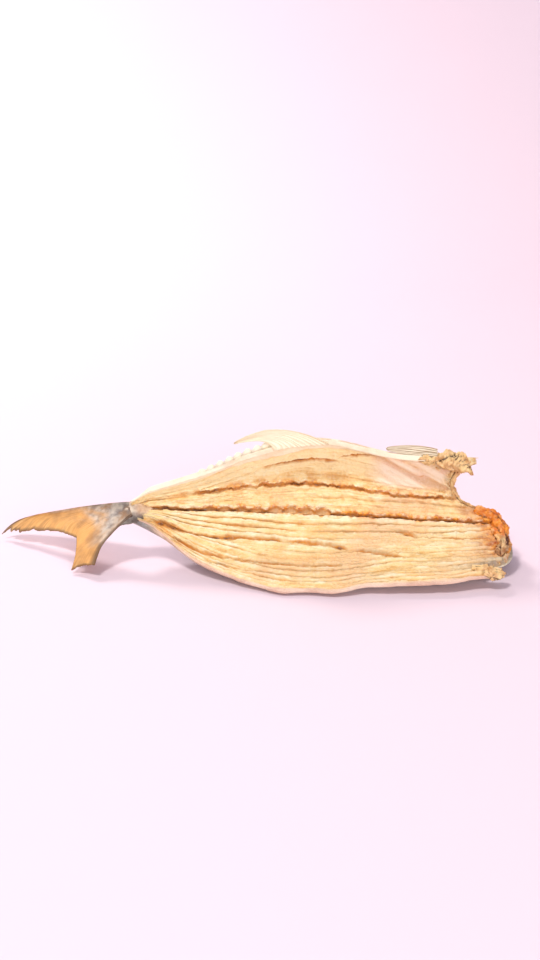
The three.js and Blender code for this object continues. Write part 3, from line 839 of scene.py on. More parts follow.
# %% Flesh finish
def flesh_finish():
    f = Finish("dried flesh", 0.55)
    fibre = f.fibre(5.0, 46.0)
    coarse = f.fibre(2.4, 17.0)
    level = f.maths("ADD", f.attribute("height"), f.ranged(fibre, 0.3, 0.7, (-0.8, 0.8)))
    level = f.maths("ADD", level, f.patches(90.0, 5.0, 0.35, 0.65, (-0.9, 0.9)))
    # Tone follows the relief: gold in the low places and pale cream on the raised folds, as painted shade and
    # painted light; the fibre and patch noise in the level is the flesh's own tone.
    colour = f.mix(f.ranged(level, -3.0, -0.5), GOLD, STRAW)
    colour = f.mix(f.ranged(level, -1.2, 0.9), colour, CREAM)
    colour = f.mix(f.ranged(level, 1.2, 3.0), colour, WHITE_FLESH)
    colour = f.tint(f.ranged(coarse, 0.54, 0.68), 0.5, colour, GOLD)
    strands = f.fibre(8.0, 105.0)
    colour = f.tint(f.ranged(strands, 0.55, 0.66), 0.34, colour, (0.64, 0.34, 0.10))
    colour = f.tint(f.ranged(strands, 0.44, 0.36), 0.5, colour, (0.96, 0.84, 0.58))
    blotches = f.maths("MULTIPLY", f.patches(30.0, 6.0, 0.5, 0.64), 0.62)
    warmed = f.maths("MULTIPLY", f.attribute("warm"), 0.7)
    colour = f.mix(f.maths("MAXIMUM", blotches, warmed), colour, (0.90, 0.50, 0.16))
    rosy = f.patches(14.0, 4.0, 0.5, 0.68)
    colour = f.tint(rosy, 0.5, colour, ROSE)
    # Painted shade: an olive-brown darkening in the shallow valleys between the folds.
    shaded = f.maths("MULTIPLY", f.ranged(f.attribute("crevice"), 0.06, 0.26),
                     f.patches(26.0, 4.0, 0.4, 0.6))
    colour = f.tint(shaded, 0.6, colour, (0.44, 0.33, 0.17))
    veins = f.patches(70.0, 3.0, 0.44, 0.62)
    lining = f.tint(veins, 0.5, LINING, CREAM)
    # The lining is paler on the crests of its folds and darker in their hollows: painted light and painted
    # shade.
    lining = f.mix(f.ranged(f.attribute("slant"), -0.1, 0.5), lining, (0.93, 0.76, 0.58))
    lining = f.tint(f.ranged(f.attribute("slant"), -0.1, -0.5), 0.8, lining, (0.68, 0.42, 0.24))
    # Painted light: the upper band of the far half is tinted paler.
    colour = f.tint(f.attribute("upper"), 0.7, colour, (0.98, 0.80, 0.46))
    colour = f.mix(f.attribute("thin"), colour, lining)
    crumbly = f.mix(f.patches(190.0, 6.0, 0.38, 0.62), (0.38, 0.23, 0.10), (0.86, 0.62, 0.30))
    colour = f.tint(f.attribute("collar"), 0.8, colour, crumbly)
    rust = f.mix(f.patches(140.0, 6.0, 0.4, 0.62), (0.40, 0.085, 0.010), (0.80, 0.33, 0.05))
    colour = f.mix(f.attribute("rust"), colour, rust)
    belly = f.mix(f.patches(40.0, 5.0, 0.46, 0.72), PALE_SKIN, (0.88, 0.68, 0.46))
    colour = f.mix(f.attribute("pale"), colour, belly)
    rim = f.mix(f.patches(28.0, 5.0, 0.38, 0.62), (0.68, 0.42, 0.31), (0.84, 0.62, 0.48))
    colour = f.mix(f.attribute("rim"), colour, rim)
    stained = f.mix(f.patches(230.0, 5.0, 0.42, 0.6), (0.54, 0.125, 0.006), (0.90, 0.38, 0.03))
    glaze = f.maths("MULTIPLY", f.attribute("glaze"), f.patches(120.0, 5.0, 0.40, 0.54, (0.2, 1.0)))
    colour = f.mix(glaze, colour, stained)
    # The creases, furrows, pits and open backbone groove turn orange, then dark brown at their deepest:
    # painted shade over the orange the flesh has there.
    crevice = f.maths("ADD", f.attribute("crevice"), f.patches(210.0, 4.0, 0.3, 0.7, (-0.14, 0.14)))
    colour = f.mix(f.ranged(crevice, 0.18, 0.62), colour, ORANGE)
    colour = f.mix(f.ranged(crevice, 0.66, 1.0), colour, BROWN)
    bony = f.mix(f.patches(120.0, 4.0, 0.4, 0.6), (0.60, 0.34, 0.13), (0.84, 0.60, 0.32))
    colour = f.tint(f.attribute("bone"), 0.8, colour, bony)
    # The flesh beside the notch in the neck cut is taken towards dark grey-brown.
    dark_patch_colour = f.mix(f.patches(150.0, 5.0, 0.4, 0.6), (0.14, 0.11, 0.09), (0.52, 0.42, 0.30))
    colour = f.tint(f.attribute("bruise"), 0.9, colour, dark_patch_colour)
    salt = f.group(SALT, f.where.outputs["Object"], Scale=420.0)
    colour = f.tint(salt, 0.25, colour, (0.94, 0.9, 0.78))
    f.colour(colour)
    f.link(f.ranged(fibre, 0.3, 0.7, (0.42, 0.66)), f.shader.inputs["Roughness"])
    grain = f.maths("ADD", f.maths("MULTIPLY", fibre, 0.8), f.maths("MULTIPLY", f.noise(420.0, 6.0), 0.7))
    f.bump(grain, 0.85, 0.0014)
    return f.material


# %% Skin finish
def skin_finish():
    f = Finish("dried skin", 0.45, 0.45)
    scales = f.tree.nodes.new("ShaderNodeTexVoronoi")
    scales.inputs["Scale"].default_value = 42.0
    f.link(f.uv.outputs["UV"], scales.inputs["Vector"])
    back = f.mix(f.patches(60.0, 6.0, 0.4, 0.62), (0.12, 0.125, 0.12), SILVER)
    belly = f.mix(f.patches(30.0, 5.0, 0.42, 0.62), (0.72, 0.6, 0.42), PALE_SKIN)
    colour = f.mix(f.ranged(f.attribute("silver"), 0.1, 0.8), belly, back)
    colour = f.tint(f.ranged(scales.outputs["Distance"], 0.35, 0.6), 0.35, colour, OLIVE)
    edge = f.mix(f.patches(55.0, 5.0, 0.42, 0.62), (0.66, 0.43, 0.26), (0.84, 0.64, 0.42))
    colour = f.tint(f.attribute("edge"), 0.9, colour, edge)
    salt = f.group(SALT, f.where.outputs["Object"], Scale=260.0)
    colour = f.tint(salt, 0.35, colour, (0.9, 0.87, 0.8))
    f.colour(colour)
    height = f.maths("ADD", f.maths("MULTIPLY", scales.outputs["Distance"], -0.5), f.noise(240.0, 5.0))
    f.bump(height, 0.5, 0.0008)
    return f.material


# %% Fin finishes
def fin_finish(name, web, ray, dark, rays, mottled):
    f = Finish(name, 0.5, 0.4)
    fibre = f.fibre(3.0, rays)
    colour = f.mix(f.ranged(f.attribute("ray"), 0.15, 0.85), web, ray)
    colour = f.tint(f.ranged(fibre, 0.5, 0.66), 0.55, colour, dark)
    if mottled:
        streaks = f.fibre(2.6, 52.0)
        colour = f.tint(f.ranged(streaks, 0.5, 0.62), 0.8, colour, (0.30, 0.13, 0.035))
        colour = f.tint(f.ranged(streaks, 0.46, 0.38), 0.55, colour, (0.80, 0.52, 0.24))
        colour = f.mix(f.patches(22.0, 5.0, 0.44, 0.64), colour, (0.76, 0.38, 0.11))
        colour = f.tint(f.patches(34.0, 6.0, 0.48, 0.64), 0.7, colour, (0.34, 0.16, 0.055))
        grey = f.mix(f.patches(120.0, 7.0, 0.4, 0.6), GREY, (0.60, 0.53, 0.45))
        patch = f.maths("MULTIPLY", f.attribute("root"), f.patches(60.0, 6.0, 0.34, 0.52, (0.5, 1.0)))
        colour = f.mix(patch, colour, grey)
    colour = f.tint(f.attribute("edge"), 0.85, colour, dark)
    f.colour(colour)
    f.bump(f.maths("ADD", fibre, f.noise(400.0, 4.0)), 0.5, 0.0005)
    return f.material


FLESH_FINISH, SKIN_FINISH = flesh_finish(), skin_finish()
TAIL_FINISH = fin_finish("dried tail fin", (0.60, 0.29, 0.08), (0.74, 0.40, 0.13), (0.11, 0.06, 0.03),
                         26.0, True)
PALE_FINISH = fin_finish("pale fin", (0.88, 0.76, 0.54), (0.92, 0.84, 0.64), (0.78, 0.60, 0.38), 14.0, False)
RAYED_FINISH = fin_finish("rayed pale fin", (0.34, 0.24, 0.13), (0.92, 0.84, 0.64), (0.4, 0.28, 0.15),
                          30.0, False)
BACK_FIN_FINISH = fin_finish("back fin", (0.27, 0.265, 0.25), (0.36, 0.355, 0.33), (0.18, 0.175, 0.165),
                             24.0, False)


def bone_finish():
    f = Finish("dried bone", 0.5)
    tone = f.mix(f.patches(90.0, 5.0, 0.4, 0.62), (0.42, 0.15, 0.03), (0.72, 0.42, 0.15))
    f.colour(tone)
    f.bump(f.noise(500.0, 4.0), 0.5, 0.0005)
    return f.material


BONE_FINISH = bone_finish()


# %% Torn flesh and peduncle finishes
def torn_finish(name, light, mid, deep):
    f = Finish(name, 0.55)
    colour = f.mix(f.patches(150.0, 6.0, 0.36, 0.62), mid, light)
    colour = f.tint(f.attribute("shade"), 0.35, colour, mid)
    colour = f.tint(f.patches(60.0, 5.0, 0.5, 0.62), 0.7, colour, (0.92, 0.68, 0.32))
    ashen = f.mix(f.patches(170.0, 6.0, 0.38, 0.58), (0.20, 0.11, 0.06), (0.78, 0.56, 0.30))
    colour = f.tint(f.attribute("ash"), 0.75, colour, ashen)
    # Painted shade: the hollows between the lumps are taken to the deep colour.
    colour = f.mix(f.attribute("deep"), colour, deep)
    salt = f.group(SALT, f.where.outputs["Object"], Scale=380.0)
    f.colour(f.tint(salt, 0.25, colour, (0.94, 0.85, 0.66)))
    f.bump(f.noise(360.0, 7.0), 0.9, 0.0014)
    return f.material


def peduncle_finish():
    f = Finish("tail root skin", 0.5)
    grey = f.mix(f.patches(130.0, 7.0, 0.4, 0.6), GREY, (0.60, 0.53, 0.45))
    # Painted shade: the underside of the tail root is taken towards dark.
    colour = f.tint(f.attribute("low"), 0.7, grey, DARK)
    pinkish = f.mix(f.patches(90.0, 6.0, 0.4, 0.6), (0.50, 0.30, 0.18), (0.82, 0.60, 0.38))
    f.colour(f.mix(f.attribute("top"), colour, pinkish))
    f.bump(f.noise(300.0, 7.0), 0.7, 0.0009)
    return f.material


COLLAR_FINISH = torn_finish("torn skin", (0.92, 0.62, 0.30), (0.56, 0.28, 0.10), (0.10, 0.045, 0.018))
CUT_FINISH = torn_finish("cut flesh", (0.88, 0.33, 0.03), (0.58, 0.13, 0.008), (0.10, 0.022, 0.006))
PEDUNCLE_FINISH = peduncle_finish()
for half in (near_flesh, far_flesh):
    half.data.materials.append(FLESH_FINISH)
skin.data.materials.append(SKIN_FINISH)

# %% Backbone piece
ROW = row_tree()
one_bone = spool()
bpy.context.scene.collection.objects.link(one_bone)
bone_curve = curve_from(bone_line(90), "bone_line")
BONE_ROW_SHORT = 18  # how much shorter than the body, tail root to neck cut, the row is, in mm
BONE_SHARE = 0.96  # how much of its pitch one vertebra fills
bone_length = (through(NECK_CUT, 0.0) - TAIL_ROOT_X - BONE_ROW_SHORT) / BONE_COUNT * BONE_SHARE * MM
backbone = applied(bone_curve, ROW, {"Thing": one_bone, "Count": BONE_COUNT, "Wobble": 0.06,
                                     "First size": BONE_RADIUS_AT_TAIL * MM, "Last size": BONE_RADIUS * MM,
                                     "Length": float(bone_length), "Finish": BONE_FINISH}, "vertebrae")

# %% [markdown]
# ## Fins
# A fin is a web held by rays that fan out from its root.  Four edges define it, and the surface
# between them is their Coons patch: root, outer edge and the two sides.  Rays are ridges that run
# from root to outer edge, and the web is torn back between them.


# %% Patch between four edges
def bezier(points, t):
    t = np.asarray(t, float)[..., None]
    p = [np.array(q, float) for q in points]
    if len(p) == 2:
        return p[0] * (1 - t) + p[1] * t
    return p[0] * (1 - t) ** 2 + 2 * p[1] * t * (1 - t) + p[2] * t**2


def chain(curves, t):
    """Several curves end to end, each with a share of 0 to 1 in proportion to its length."""
    sizes = [np.linalg.norm(np.diff(bezier(c, np.linspace(0, 1, 20)), axis=0), axis=1).sum() for c in curves]
    ends = np.cumsum(sizes) / sum(sizes)
    t = np.asarray(t, float)
    k = np.clip(np.searchsorted(ends, t), 0, len(curves) - 1)
    starts = np.concatenate([[0], ends[:-1]])
    result = np.zeros(t.shape + (2,))
    for i, curve in enumerate(curves):
        chosen = k == i
        result[chosen] = bezier(curve, (t[chosen] - starts[i]) / (ends[i] - starts[i]))
    return result


def patch(root, outer, first, last, t, r):
    """A point for share t from the first side to the last and share r from the root outwards."""
    p00, p10 = chain(root, np.zeros(1)), chain(root, np.ones(1))
    p01, p11 = chain(outer, np.zeros(1)), chain(outer, np.ones(1))
    tt, rr = t[:, None], r[:, None]
    return ((1 - rr) * chain(root, t) + rr * chain(outer, t)
            + (1 - tt) * chain(first, r) + tt * chain(last, r)
            - ((1 - tt) * (1 - rr) * p00 + tt * (1 - rr) * p10 + (1 - tt) * rr * p01 + tt * rr * p11))


def axes(lengthwise, sideways):
    u = np.array(lengthwise, float) / np.linalg.norm(lengthwise)
    n = np.cross(u, sideways)
    n /= np.linalg.norm(n)
    return u, np.cross(n, u), n


def fin(name, edges, origin, directions, rays, columns, rows, thick, fray, bend=0.0):
    lengthwise, sideways, normal = directions

    def place(a, b, depth):
        t, r = a, b
        ray = 0.5 + 0.5 * np.cos(2 * np.pi * (t * rays + 0.7 * fractal(t * 9, r * 2, 61)))
        patchy = 0.15 + 1.5 * smooth(-0.1, 0.5, fractal(t * 7, 0 * t, 65, 2))
        teeth = fractal(t * rays * 0.55, 0 * t, 63, 3)
        torn = (fray * patchy * np.clip(0.4 + 1.2 * teeth, 0, 1.4)
                + 0.25 * fray * np.abs(fractal(t * 26, 0 * t, 66)))
        reach = r * (1 - np.clip(torn, 0, 0.3) * smooth(0.5, 1, r))
        flat = patch(*edges, t, reach)
        root_thick, tip_thick = thick
        body = tip_thick + (root_thick - tip_thick) * (1 - smooth(0.0, 0.34, r))
        half = body / 2 * (0.6 + 0.4 * ray)
        off = half * (1 - 2 * depth) + bend * fractal(t * 2.2, r * 2.0, 68) * smooth(0.1, 0.7, r)
        points = np.array(origin) + flat[:, :1] * lengthwise + flat[:, 1:] * sideways + off[:, None] * normal
        side = np.minimum(t, 1 - t)
        edge = np.maximum(1 - smooth(0.01, 0.05, side), 0.8 * smooth(0.965, 0.99, r))
        return points, dict(ray=ray, root=1 - smooth(0.26, 0.72, r + 0.26 * fractal(t * 5, r * 6, 71)),
                            edge=edge, uv=np.stack([r, t], -1))

    return sheet(name, columns, rows, place, rim_rows=2, stride=2)


# %% Tail fin
TAIL_DROOP, TAIL_LEAN = math.radians(29), math.radians(28)
TAIL_AXES = axes((-math.cos(TAIL_DROOP), 0, -math.sin(TAIL_DROOP)),
                 (0, -math.cos(TAIL_LEAN), -math.sin(TAIL_LEAN)))
TAIL_ROOT_HALF, TAIL_FORK_SHARE = 9, 0.4
WHOLE_REACH, WHOLE_TURN = 160, -20


def polar(reach, turn):
    return (reach * math.cos(math.radians(turn)), reach * math.sin(math.radians(turn)))


def bowed(a, b, bow):
    """A curve from a to b whose middle lies bow millimetres to the left of the straight line."""
    aside = 2 * bow / math.hypot(b[0] - a[0], b[1] - a[1])
    return [a, ((a[0] + b[0]) / 2 - aside * (b[1] - a[1]), (a[1] + b[1]) / 2 + aside * (b[0] - a[0])), b]


def tail_edges():
    whole_root, broken_root = (0, -TAIL_ROOT_HALF), (0, TAIL_ROOT_HALF)
    bend, tip = polar(WHOLE_REACH * 0.85, WHOLE_TURN - 9), polar(WHOLE_REACH, WHOLE_TURN)
    fork, fork_corner, lead_corner = (WHOLE_REACH * TAIL_FORK_SHARE, 0), polar(85, 28), polar(70, 45)
    jag = bowed(fork_corner, lead_corner, 1.5)[1]
    return ([[whole_root, broken_root]],
            [bowed(tip, fork, 10), bowed(fork, fork_corner, 2), [fork_corner, jag], [jag, lead_corner]],
            [bowed(whole_root, bend, -4), bowed(bend, tip, -6)],
            [bowed(lead_corner, broken_root, 8)[::-1]])


tail = fin("tail_rays", tail_edges(), (TAIL_ROOT_X - 0.4, 96, 55), TAIL_AXES, rays=58, columns=380, rows=110,
           thick=(4.4, 1.2), fray=0.065, bend=2.2)
tail.data.materials.append(TAIL_FINISH)


# %% Where the far half's edge is highest
def lip_top(x):
    across = np.linspace(LIP_STARTS - 0.1, 1, 16)
    skin_points = skin_at(np.full(16, float(x)), across)
    return skin_points[skin_points[:, 2].argmax()]


# %% Anal fin lobe
lip_z = {x: lip_top(x)[2] for x in (-24, -10, 0, 8, 18, 40, 72)}
ANAL_EDGES = (
    [[(16, lip_z[18] - 5), (44, lip_z[40] - 5), (71, lip_z[72] - 5)]],
    [[(-24, lip_z[-24] + 15), (-23, lip_z[-24] + 17)]],
    [[(16, lip_z[18] - 5), (12, lip_z[8] + 13), (-24, lip_z[-24] + 15)]],
    [[(71, lip_z[72] - 5), (40, lip_z[40] + 14), (8, lip_z[8] + 19)],
     [(8, lip_z[8] + 19), (-10, lip_z[-10] + 20), (-23, lip_z[-24] + 17)]],
)
anal = fin("anal_lobe", ANAL_EDGES, (0, lip_top(0)[1], 0), axes((1, 0.02, 0), (0, 0, 1)), rays=11,
           columns=120, rows=80, thick=(4.6, 1.5), fray=0.03, bend=1.2)
anal.data.materials.append(PALE_FINISH)

# %% Pelvic fin
pelvic_root = lip_top(176) + np.array([0, 0, -0.4])
PELVIC_EDGES = (
    [[(4, -3), (4, 6)]],
    [[(-46, 5), (-50, 7), (-46, 9)]],
    [[(4, -3), (-20, -2), (-46, 5)]],
    [[(4, 6), (-20, 13), (-46, 9)]],
)
pelvic = fin("pelvic_rays", PELVIC_EDGES, pelvic_root, axes((1, 0.05, 0), (0, 0.1, 1)), rays=6, columns=72,
             rows=80, thick=(2.4, 1.3), fray=0.06)
pelvic.data.materials.append(RAYED_FINISH)


# %% [markdown]
# ## Peduncle, collar and cut end
# Five places have more bulk than a sheet: the narrow neck of flesh that carries the tail, the roll
# of torn skin at the top of the neck cut, the torn flesh below it, the end of the near flap, and the
# thick cut end itself.  Each is a tube lofted round a path, with its radius broken up by noise, so it
# merges with the sheets that it crosses.

# %% Lumpy tube helper
def lumpy(name, path, wide, thick, across_axis, thick_axis, rough, lump, seed, values, rings=150, sides=72):
    """path, wide and thick are functions of t from 0 to 1, an axis may be one too; rough is in mm."""
    t = np.repeat(np.linspace(0, 1, rings), sides)
    turn = np.tile(np.arange(sides) * 2 * np.pi / sides, rings)
    centre = path(t)
    end = np.sqrt(np.clip(1 - (2 * t - 1) ** 14, 0.0016, 1))
    lie_a, lie_b = np.cos(turn) * wide(t), np.sin(turn) * thick(t)
    flat = np.stack([centre[:, 0] + lie_a, centre[:, 1] + 1.7 * lie_b, centre[:, 2] - 0.6 * lie_b], -1)
    about, over = 1.5 * np.cos(turn), 1.5 * np.sin(turn)
    broken = fractal(flat[:, 0] / lump + about, flat[:, 2] / lump + over, seed, 4)
    broken = broken + fractal(flat[:, 1] / lump + over, flat[:, 0] / (1.4 * lump) - about, seed + 5, 4)
    small = 0.45 * lump
    fine = 1 - np.abs(fractal(flat[:, 0] / small, (flat[:, 1] + flat[:, 2]) / small, seed + 9, 3))
    bumps = rough * (0.8 * broken + 1.1 * (fine - 0.75))
    swell = 1 + bumps / np.maximum(np.hypot(lie_a, lie_b), 2.0)
    axis_a, axis_b = (axis(t) if callable(axis) else axis for axis in (across_axis, thick_axis))
    points = centre + (lie_a * end * swell)[:, None] * axis_a + (lie_b * end * swell)[:, None] * axis_b
    index = np.arange(rings * sides).reshape(rings, sides)
    ahead = np.roll(index, -1, axis=1)
    faces = np.stack([index[:-1], index[1:], ahead[1:], ahead[:-1]], -1).reshape(-1, 4).tolist()
    faces += [index[0].tolist(), index[-1][::-1].tolist()]
    masks = dict(values(t, turn, bumps))
    masks["uv"] = np.stack([t, turn / (2 * np.pi)], -1)
    return mesh_piece(name, points, faces, masks)


# %% Peduncle
BODY_END_UP = np.array([0.0, 0.30, 0.95])  # the way the narrow end of the body stands
PEDUNCLE_FROM, PEDUNCLE_INTO_FIN = 30, 38  # mm into the body and into the fin


def peduncle_turn(t):
    """0 in the body, 1 in the fin."""
    return smooth(0.0, 0.7, t)


def peduncle_path(t):
    body_end, behind, _ = flesh_at(np.array([TAIL_ROOT_X + PEDUNCLE_FROM]), np.array([0.06]))
    start = body_end[0] + behind[0] * 9
    root = np.array([TAIL_ROOT_X, 93.0, 57.0])
    tail_end = np.array([TAIL_ROOT_X, 96.0, 55.0]) + TAIL_AXES[0] * PEDUNCLE_INTO_FIN
    tt = t[:, None]
    return start * (1 - tt) ** 2 + 2 * root * tt * (1 - tt) + tail_end * tt**2


def peduncle_wide(t):
    turned = peduncle_turn(t)[:, None]
    axis = BODY_END_UP * (1 - turned) - TAIL_AXES[1] * turned
    return axis / np.linalg.norm(axis, axis=1, keepdims=True)


def peduncle_thick(t):
    along = -peduncle_path(np.clip(t + 0.01, 0, 1)) + peduncle_path(np.clip(t - 0.01, 0, 1))
    axis = np.cross(peduncle_wide(t), along)
    return axis / np.linalg.norm(axis, axis=1, keepdims=True)


def peduncle_values(t, turn, bumps):
    skinned = 1 - smooth(0.34, 0.62, t + 0.12 * fractal(t * 6, np.cos(turn) * 2, 91))
    upper_side = smooth(-0.9, -0.2, np.cos(turn))
    # low is painted shade on the underside
    return dict(top=skinned * upper_side, low=smooth(0.2, 0.95, -np.cos(turn)))


peduncle = lumpy("peduncle", peduncle_path, lambda t: 9.0 + 4.0 * smooth(0, 0.5, t) - 5.0 * smooth(0.6, 1, t),
                 lambda t: 3.0 + 4.6 * smooth(0.1, 0.35, t) - 7.3 * smooth(0.36, 0.8, t),
                 peduncle_wide, peduncle_thick, 1.3, 5.0, 93, peduncle_values)


# %% Collar of rolled and torn skin, and the cut end
def along_flesh(places, lift):
    """A path over the flesh through (x, across) places, a little above it."""
    knots = np.linspace(0, 1, len(places))
    xs, acrosses = zip(*places)
    def path(t):
        x, across = through(list(zip(knots, xs)), t), through(list(zip(knots, acrosses)), t)
        point, out, _ = flesh_at(x, across)
        return point - out * lift
    return path


def torn_values(t, turn, bumps):
    # deep is painted shade in the hollows between the lumps
    return dict(deep=smooth(0.3, 1.6, -bumps), shade=0.5 + 0.5 * fractal(t * 12, turn, 95))


def cut_values(t, turn, bumps):
    """As torn, and ashen towards the lower end."""
    return dict(torn_values(t, turn, bumps), ash=smooth(0.62, 0.95, t + 0.25 * fractal(t * 9, turn, 96)))


CUT_EDGE = 4  # how far inside the neck cut the torn rolls lie, in mm
ROLL_WIDE, ROLL_THICK = np.array([0.35, -0.5, -0.79]), np.array([0.0, 0.84, -0.53])
END_WIDE, END_THICK = np.array([0.94, 0.0, -0.34]), np.array([0.34, 0.1, 0.93])


def near_cut(acrosses, inside):
    """Places on the flesh that keep the same distance from the neck cut."""
    return [(float(through(NECK_CUT, a)) - inside, a) for a in acrosses]


collar_places = [(160, 0.97), (180, 0.97), (200, 0.96), (212, 0.92), (210, 0.84)]
collar = lumpy("collar_roll", along_flesh(collar_places, 0.8),
               lambda t: 2.6 + 7.6 * smooth(0, 0.6, t) - 2.6 * smooth(0.85, 1, t),
               lambda t: 2.4 + 3.0 * smooth(0, 0.5, t), ROLL_WIDE, ROLL_THICK, 4.4, 5.6, 97, torn_values)
neck_tear = lumpy("neck_tear", along_flesh(near_cut((0.9, 0.78, 0.65, 0.5, 0.35, 0.22), CUT_EDGE), 0.2),
                  lambda t: 5.6 - 3.0 * smooth(0.1, 0.7, t), lambda t: 3.6 - 1.2 * smooth(0.1, 0.7, t),
                  np.array([1.0, 0.0, 0.0]), ROLL_THICK, 2.4, 4.0, 111, torn_values)
flap_end = lumpy("flap_end", along_flesh(near_cut((-0.82, -0.88, -0.93, -0.97), CUT_EDGE + 10), 0.6),
                 lambda t: 11.5 - 2.5 * t, lambda t: 4.8 - 0.8 * t,
                 END_WIDE, END_THICK, 3.2, 5.0, 121, torn_values)
cut_end = lumpy("cut_end", along_flesh(near_cut((0.2, 0.08, -0.08, -0.24, -0.4, -0.6), CUT_EDGE + 7.5), 1.4),
                lambda t: 5.4 + 1.4 * np.sin(np.pi * t), lambda t: 6.0 + 1.0 * np.sin(np.pi * t),
                END_WIDE, END_THICK, 4.6, 7.5, 101, cut_values)

# %% Finlets, set along the edge by the same node tree
def finlet():
    outline = [(-1.0, 0.0), (0.1, 1.0), (0.55, 0.82), (1.0, 0.0)]
    front = [(0.22, h, z) for z, h in outline]
    back_side = [(-0.22, h, z) for z, h in outline]
    n = len(outline)
    faces = [tuple(range(n)), tuple(range(n, 2 * n))[::-1]]
    faces += [(k, n + k, n + (k + 1) % n, (k + 1) % n) for k in range(n)]
    mesh = bpy.data.meshes.new("finlet")
    mesh.from_pydata(front + back_side, [], faces)
    turn_outwards(mesh)
    mesh.attributes.new("ray", "FLOAT", "POINT").data.foreach_set("value", np.ones(2 * n, np.float32))
    return bpy.data.objects.new("finlet", mesh)


# %% Fins folded on the skin
def folded_fin(name, tail_x, neck_x, edges, rays):
    def place(u, v, depth):
        x = tail_x + (neck_x - tail_x) * u
        low, high = edges(u)
        across = low + (high - low) * v
        _, out, _ = flesh_at(x, across)
        ray = 0.5 + 0.5 * np.cos(2 * np.pi * rays * (u * 0.9 + v * 0.5))
        lift = (0.2 + 1.7 * (1 - depth)) * (0.75 + 0.25 * ray)
        values = dict(ray=ray, root=0 * u, edge=smooth(0.9, 1, v), uv=np.stack([u, v], -1))
        return skin_at(x, across) + out * lift[:, None], values
    return sheet(name, 160, 40, place, rim_rows=2, stride=2)


def dorsal_edges(u):
    lobe = 0.2 * smooth(0.45, 0.72, u) * (1 - smooth(0.78, 1, u))
    return np.full_like(u, 0.1), 0.13 + 0.04 * smooth(0, 0.1, u) + lobe


def pectoral_edges(u):
    middle = 0.42 + 0.1 * u
    half = 0.02 + 0.07 * np.sin(np.pi * (0.05 + 0.75 * u))
    return middle - half, middle + half


dorsal = folded_fin("dorsal_rays", -70, 118, dorsal_edges, 17)
pectoral = folded_fin("pectoral_rays", 122, 190, pectoral_edges, 3)
for piece in (dorsal, pectoral):
    piece.data.materials.append(BACK_FIN_FINISH)

# %% [markdown]
# ## Crumbs
# Where flesh was cut or torn it dries into flakes that barely hold on.  Geometry Nodes scatter
# small chips over the flesh along the neck cut and the torn collar.


# %% Crumb tree
def crumb_tree():
    tree = bpy.data.node_groups.new("Scatter crumbs", "GeometryNodeTree")
    face = tree.interface
    face.new_socket("Geometry", in_out="INPUT", socket_type="NodeSocketGeometry")
    for label, kind in (("Chip", "NodeSocketObject"), ("Density", "NodeSocketFloat"),
                        ("Seed", "NodeSocketInt"), ("Smallest", "NodeSocketFloat"),
                        ("Largest", "NodeSocketFloat"), ("Finish", "NodeSocketMaterial")):
        face.new_socket(label, in_out="INPUT", socket_type=kind)
    face.new_socket("Geometry", in_out="OUTPUT", socket_type="NodeSocketGeometry")
    add, link = tree.nodes.new, tree.links.new
    given, result = add("NodeGroupInput"), add("NodeGroupOutput")
    amount = add("GeometryNodeInputNamedAttribute")
    amount.data_type = "FLOAT"
    amount.inputs["Name"].default_value = "crumble"
    density = add("ShaderNodeMath")
    density.operation = "MULTIPLY"
    link(amount.outputs["Attribute"], density.inputs[0])
    link(given.outputs["Density"], density.inputs[1])
    scatter = add("GeometryNodeDistributePointsOnFaces")
    link(given.outputs["Geometry"], scatter.inputs["Mesh"])
    link(density.outputs["Value"], scatter.inputs["Density"])
    link(given.outputs["Seed"], scatter.inputs["Seed"])
    info = add("GeometryNodeObjectInfo")
    link(given.outputs["Chip"], info.inputs["Object"])
    size, spin = add("FunctionNodeRandomValue"), add("FunctionNodeRandomValue")
    link(given.outputs["Smallest"], size.inputs[2])
    link(given.outputs["Largest"], size.inputs[3])
    spin.data_type = "FLOAT_VECTOR"
    spin.inputs["Max"].default_value = (6.28, 6.28, 6.28)
    instance = add("GeometryNodeInstanceOnPoints")
    link(scatter.outputs["Points"], instance.inputs["Points"])
    link(info.outputs["Geometry"], instance.inputs["Instance"])
    link(size.outputs[1], instance.inputs["Scale"])
    link(spin.outputs["Value"], instance.inputs["Rotation"])
    realize, finish = add("GeometryNodeRealizeInstances"), add("GeometryNodeSetMaterial")
    link(instance.outputs["Instances"], realize.inputs["Geometry"])
    link(realize.outputs["Geometry"], finish.inputs["Geometry"])
    link(given.outputs["Finish"], finish.inputs["Material"])
    link(finish.outputs["Geometry"], result.inputs["Geometry"])
    return tree


def chip():
    rng = np.random.default_rng(5)
    corners = np.array([(1.5, 0, 0), (0, 0.7, 0), (-1.5, 0, 0), (0, -0.7, 0), (0, 0, 0.3), (0, 0, -0.3)])
    corners = corners * rng.uniform(0.6, 1.2, (6, 3))
    faces = [(0, 1, 4), (1, 2, 4), (2, 3, 4), (3, 0, 4), (1, 0, 5), (2, 1, 5), (3, 2, 5), (0, 3, 5)]
    mesh = bpy.data.meshes.new("chip")
    mesh.from_pydata(corners.tolist(), [], faces)
    return bpy.data.objects.new("chip", mesh)


def crumb_finish():
    f = Finish("crumbs", 0.7)
    f.colour(f.mix(f.patches(160.0, 4.0, 0.4, 0.62), (0.55, 0.24, 0.05), (0.85, 0.62, 0.3)))
    f.bump(f.noise(700.0, 3.0), 0.4, 0.0004)
    return f.material


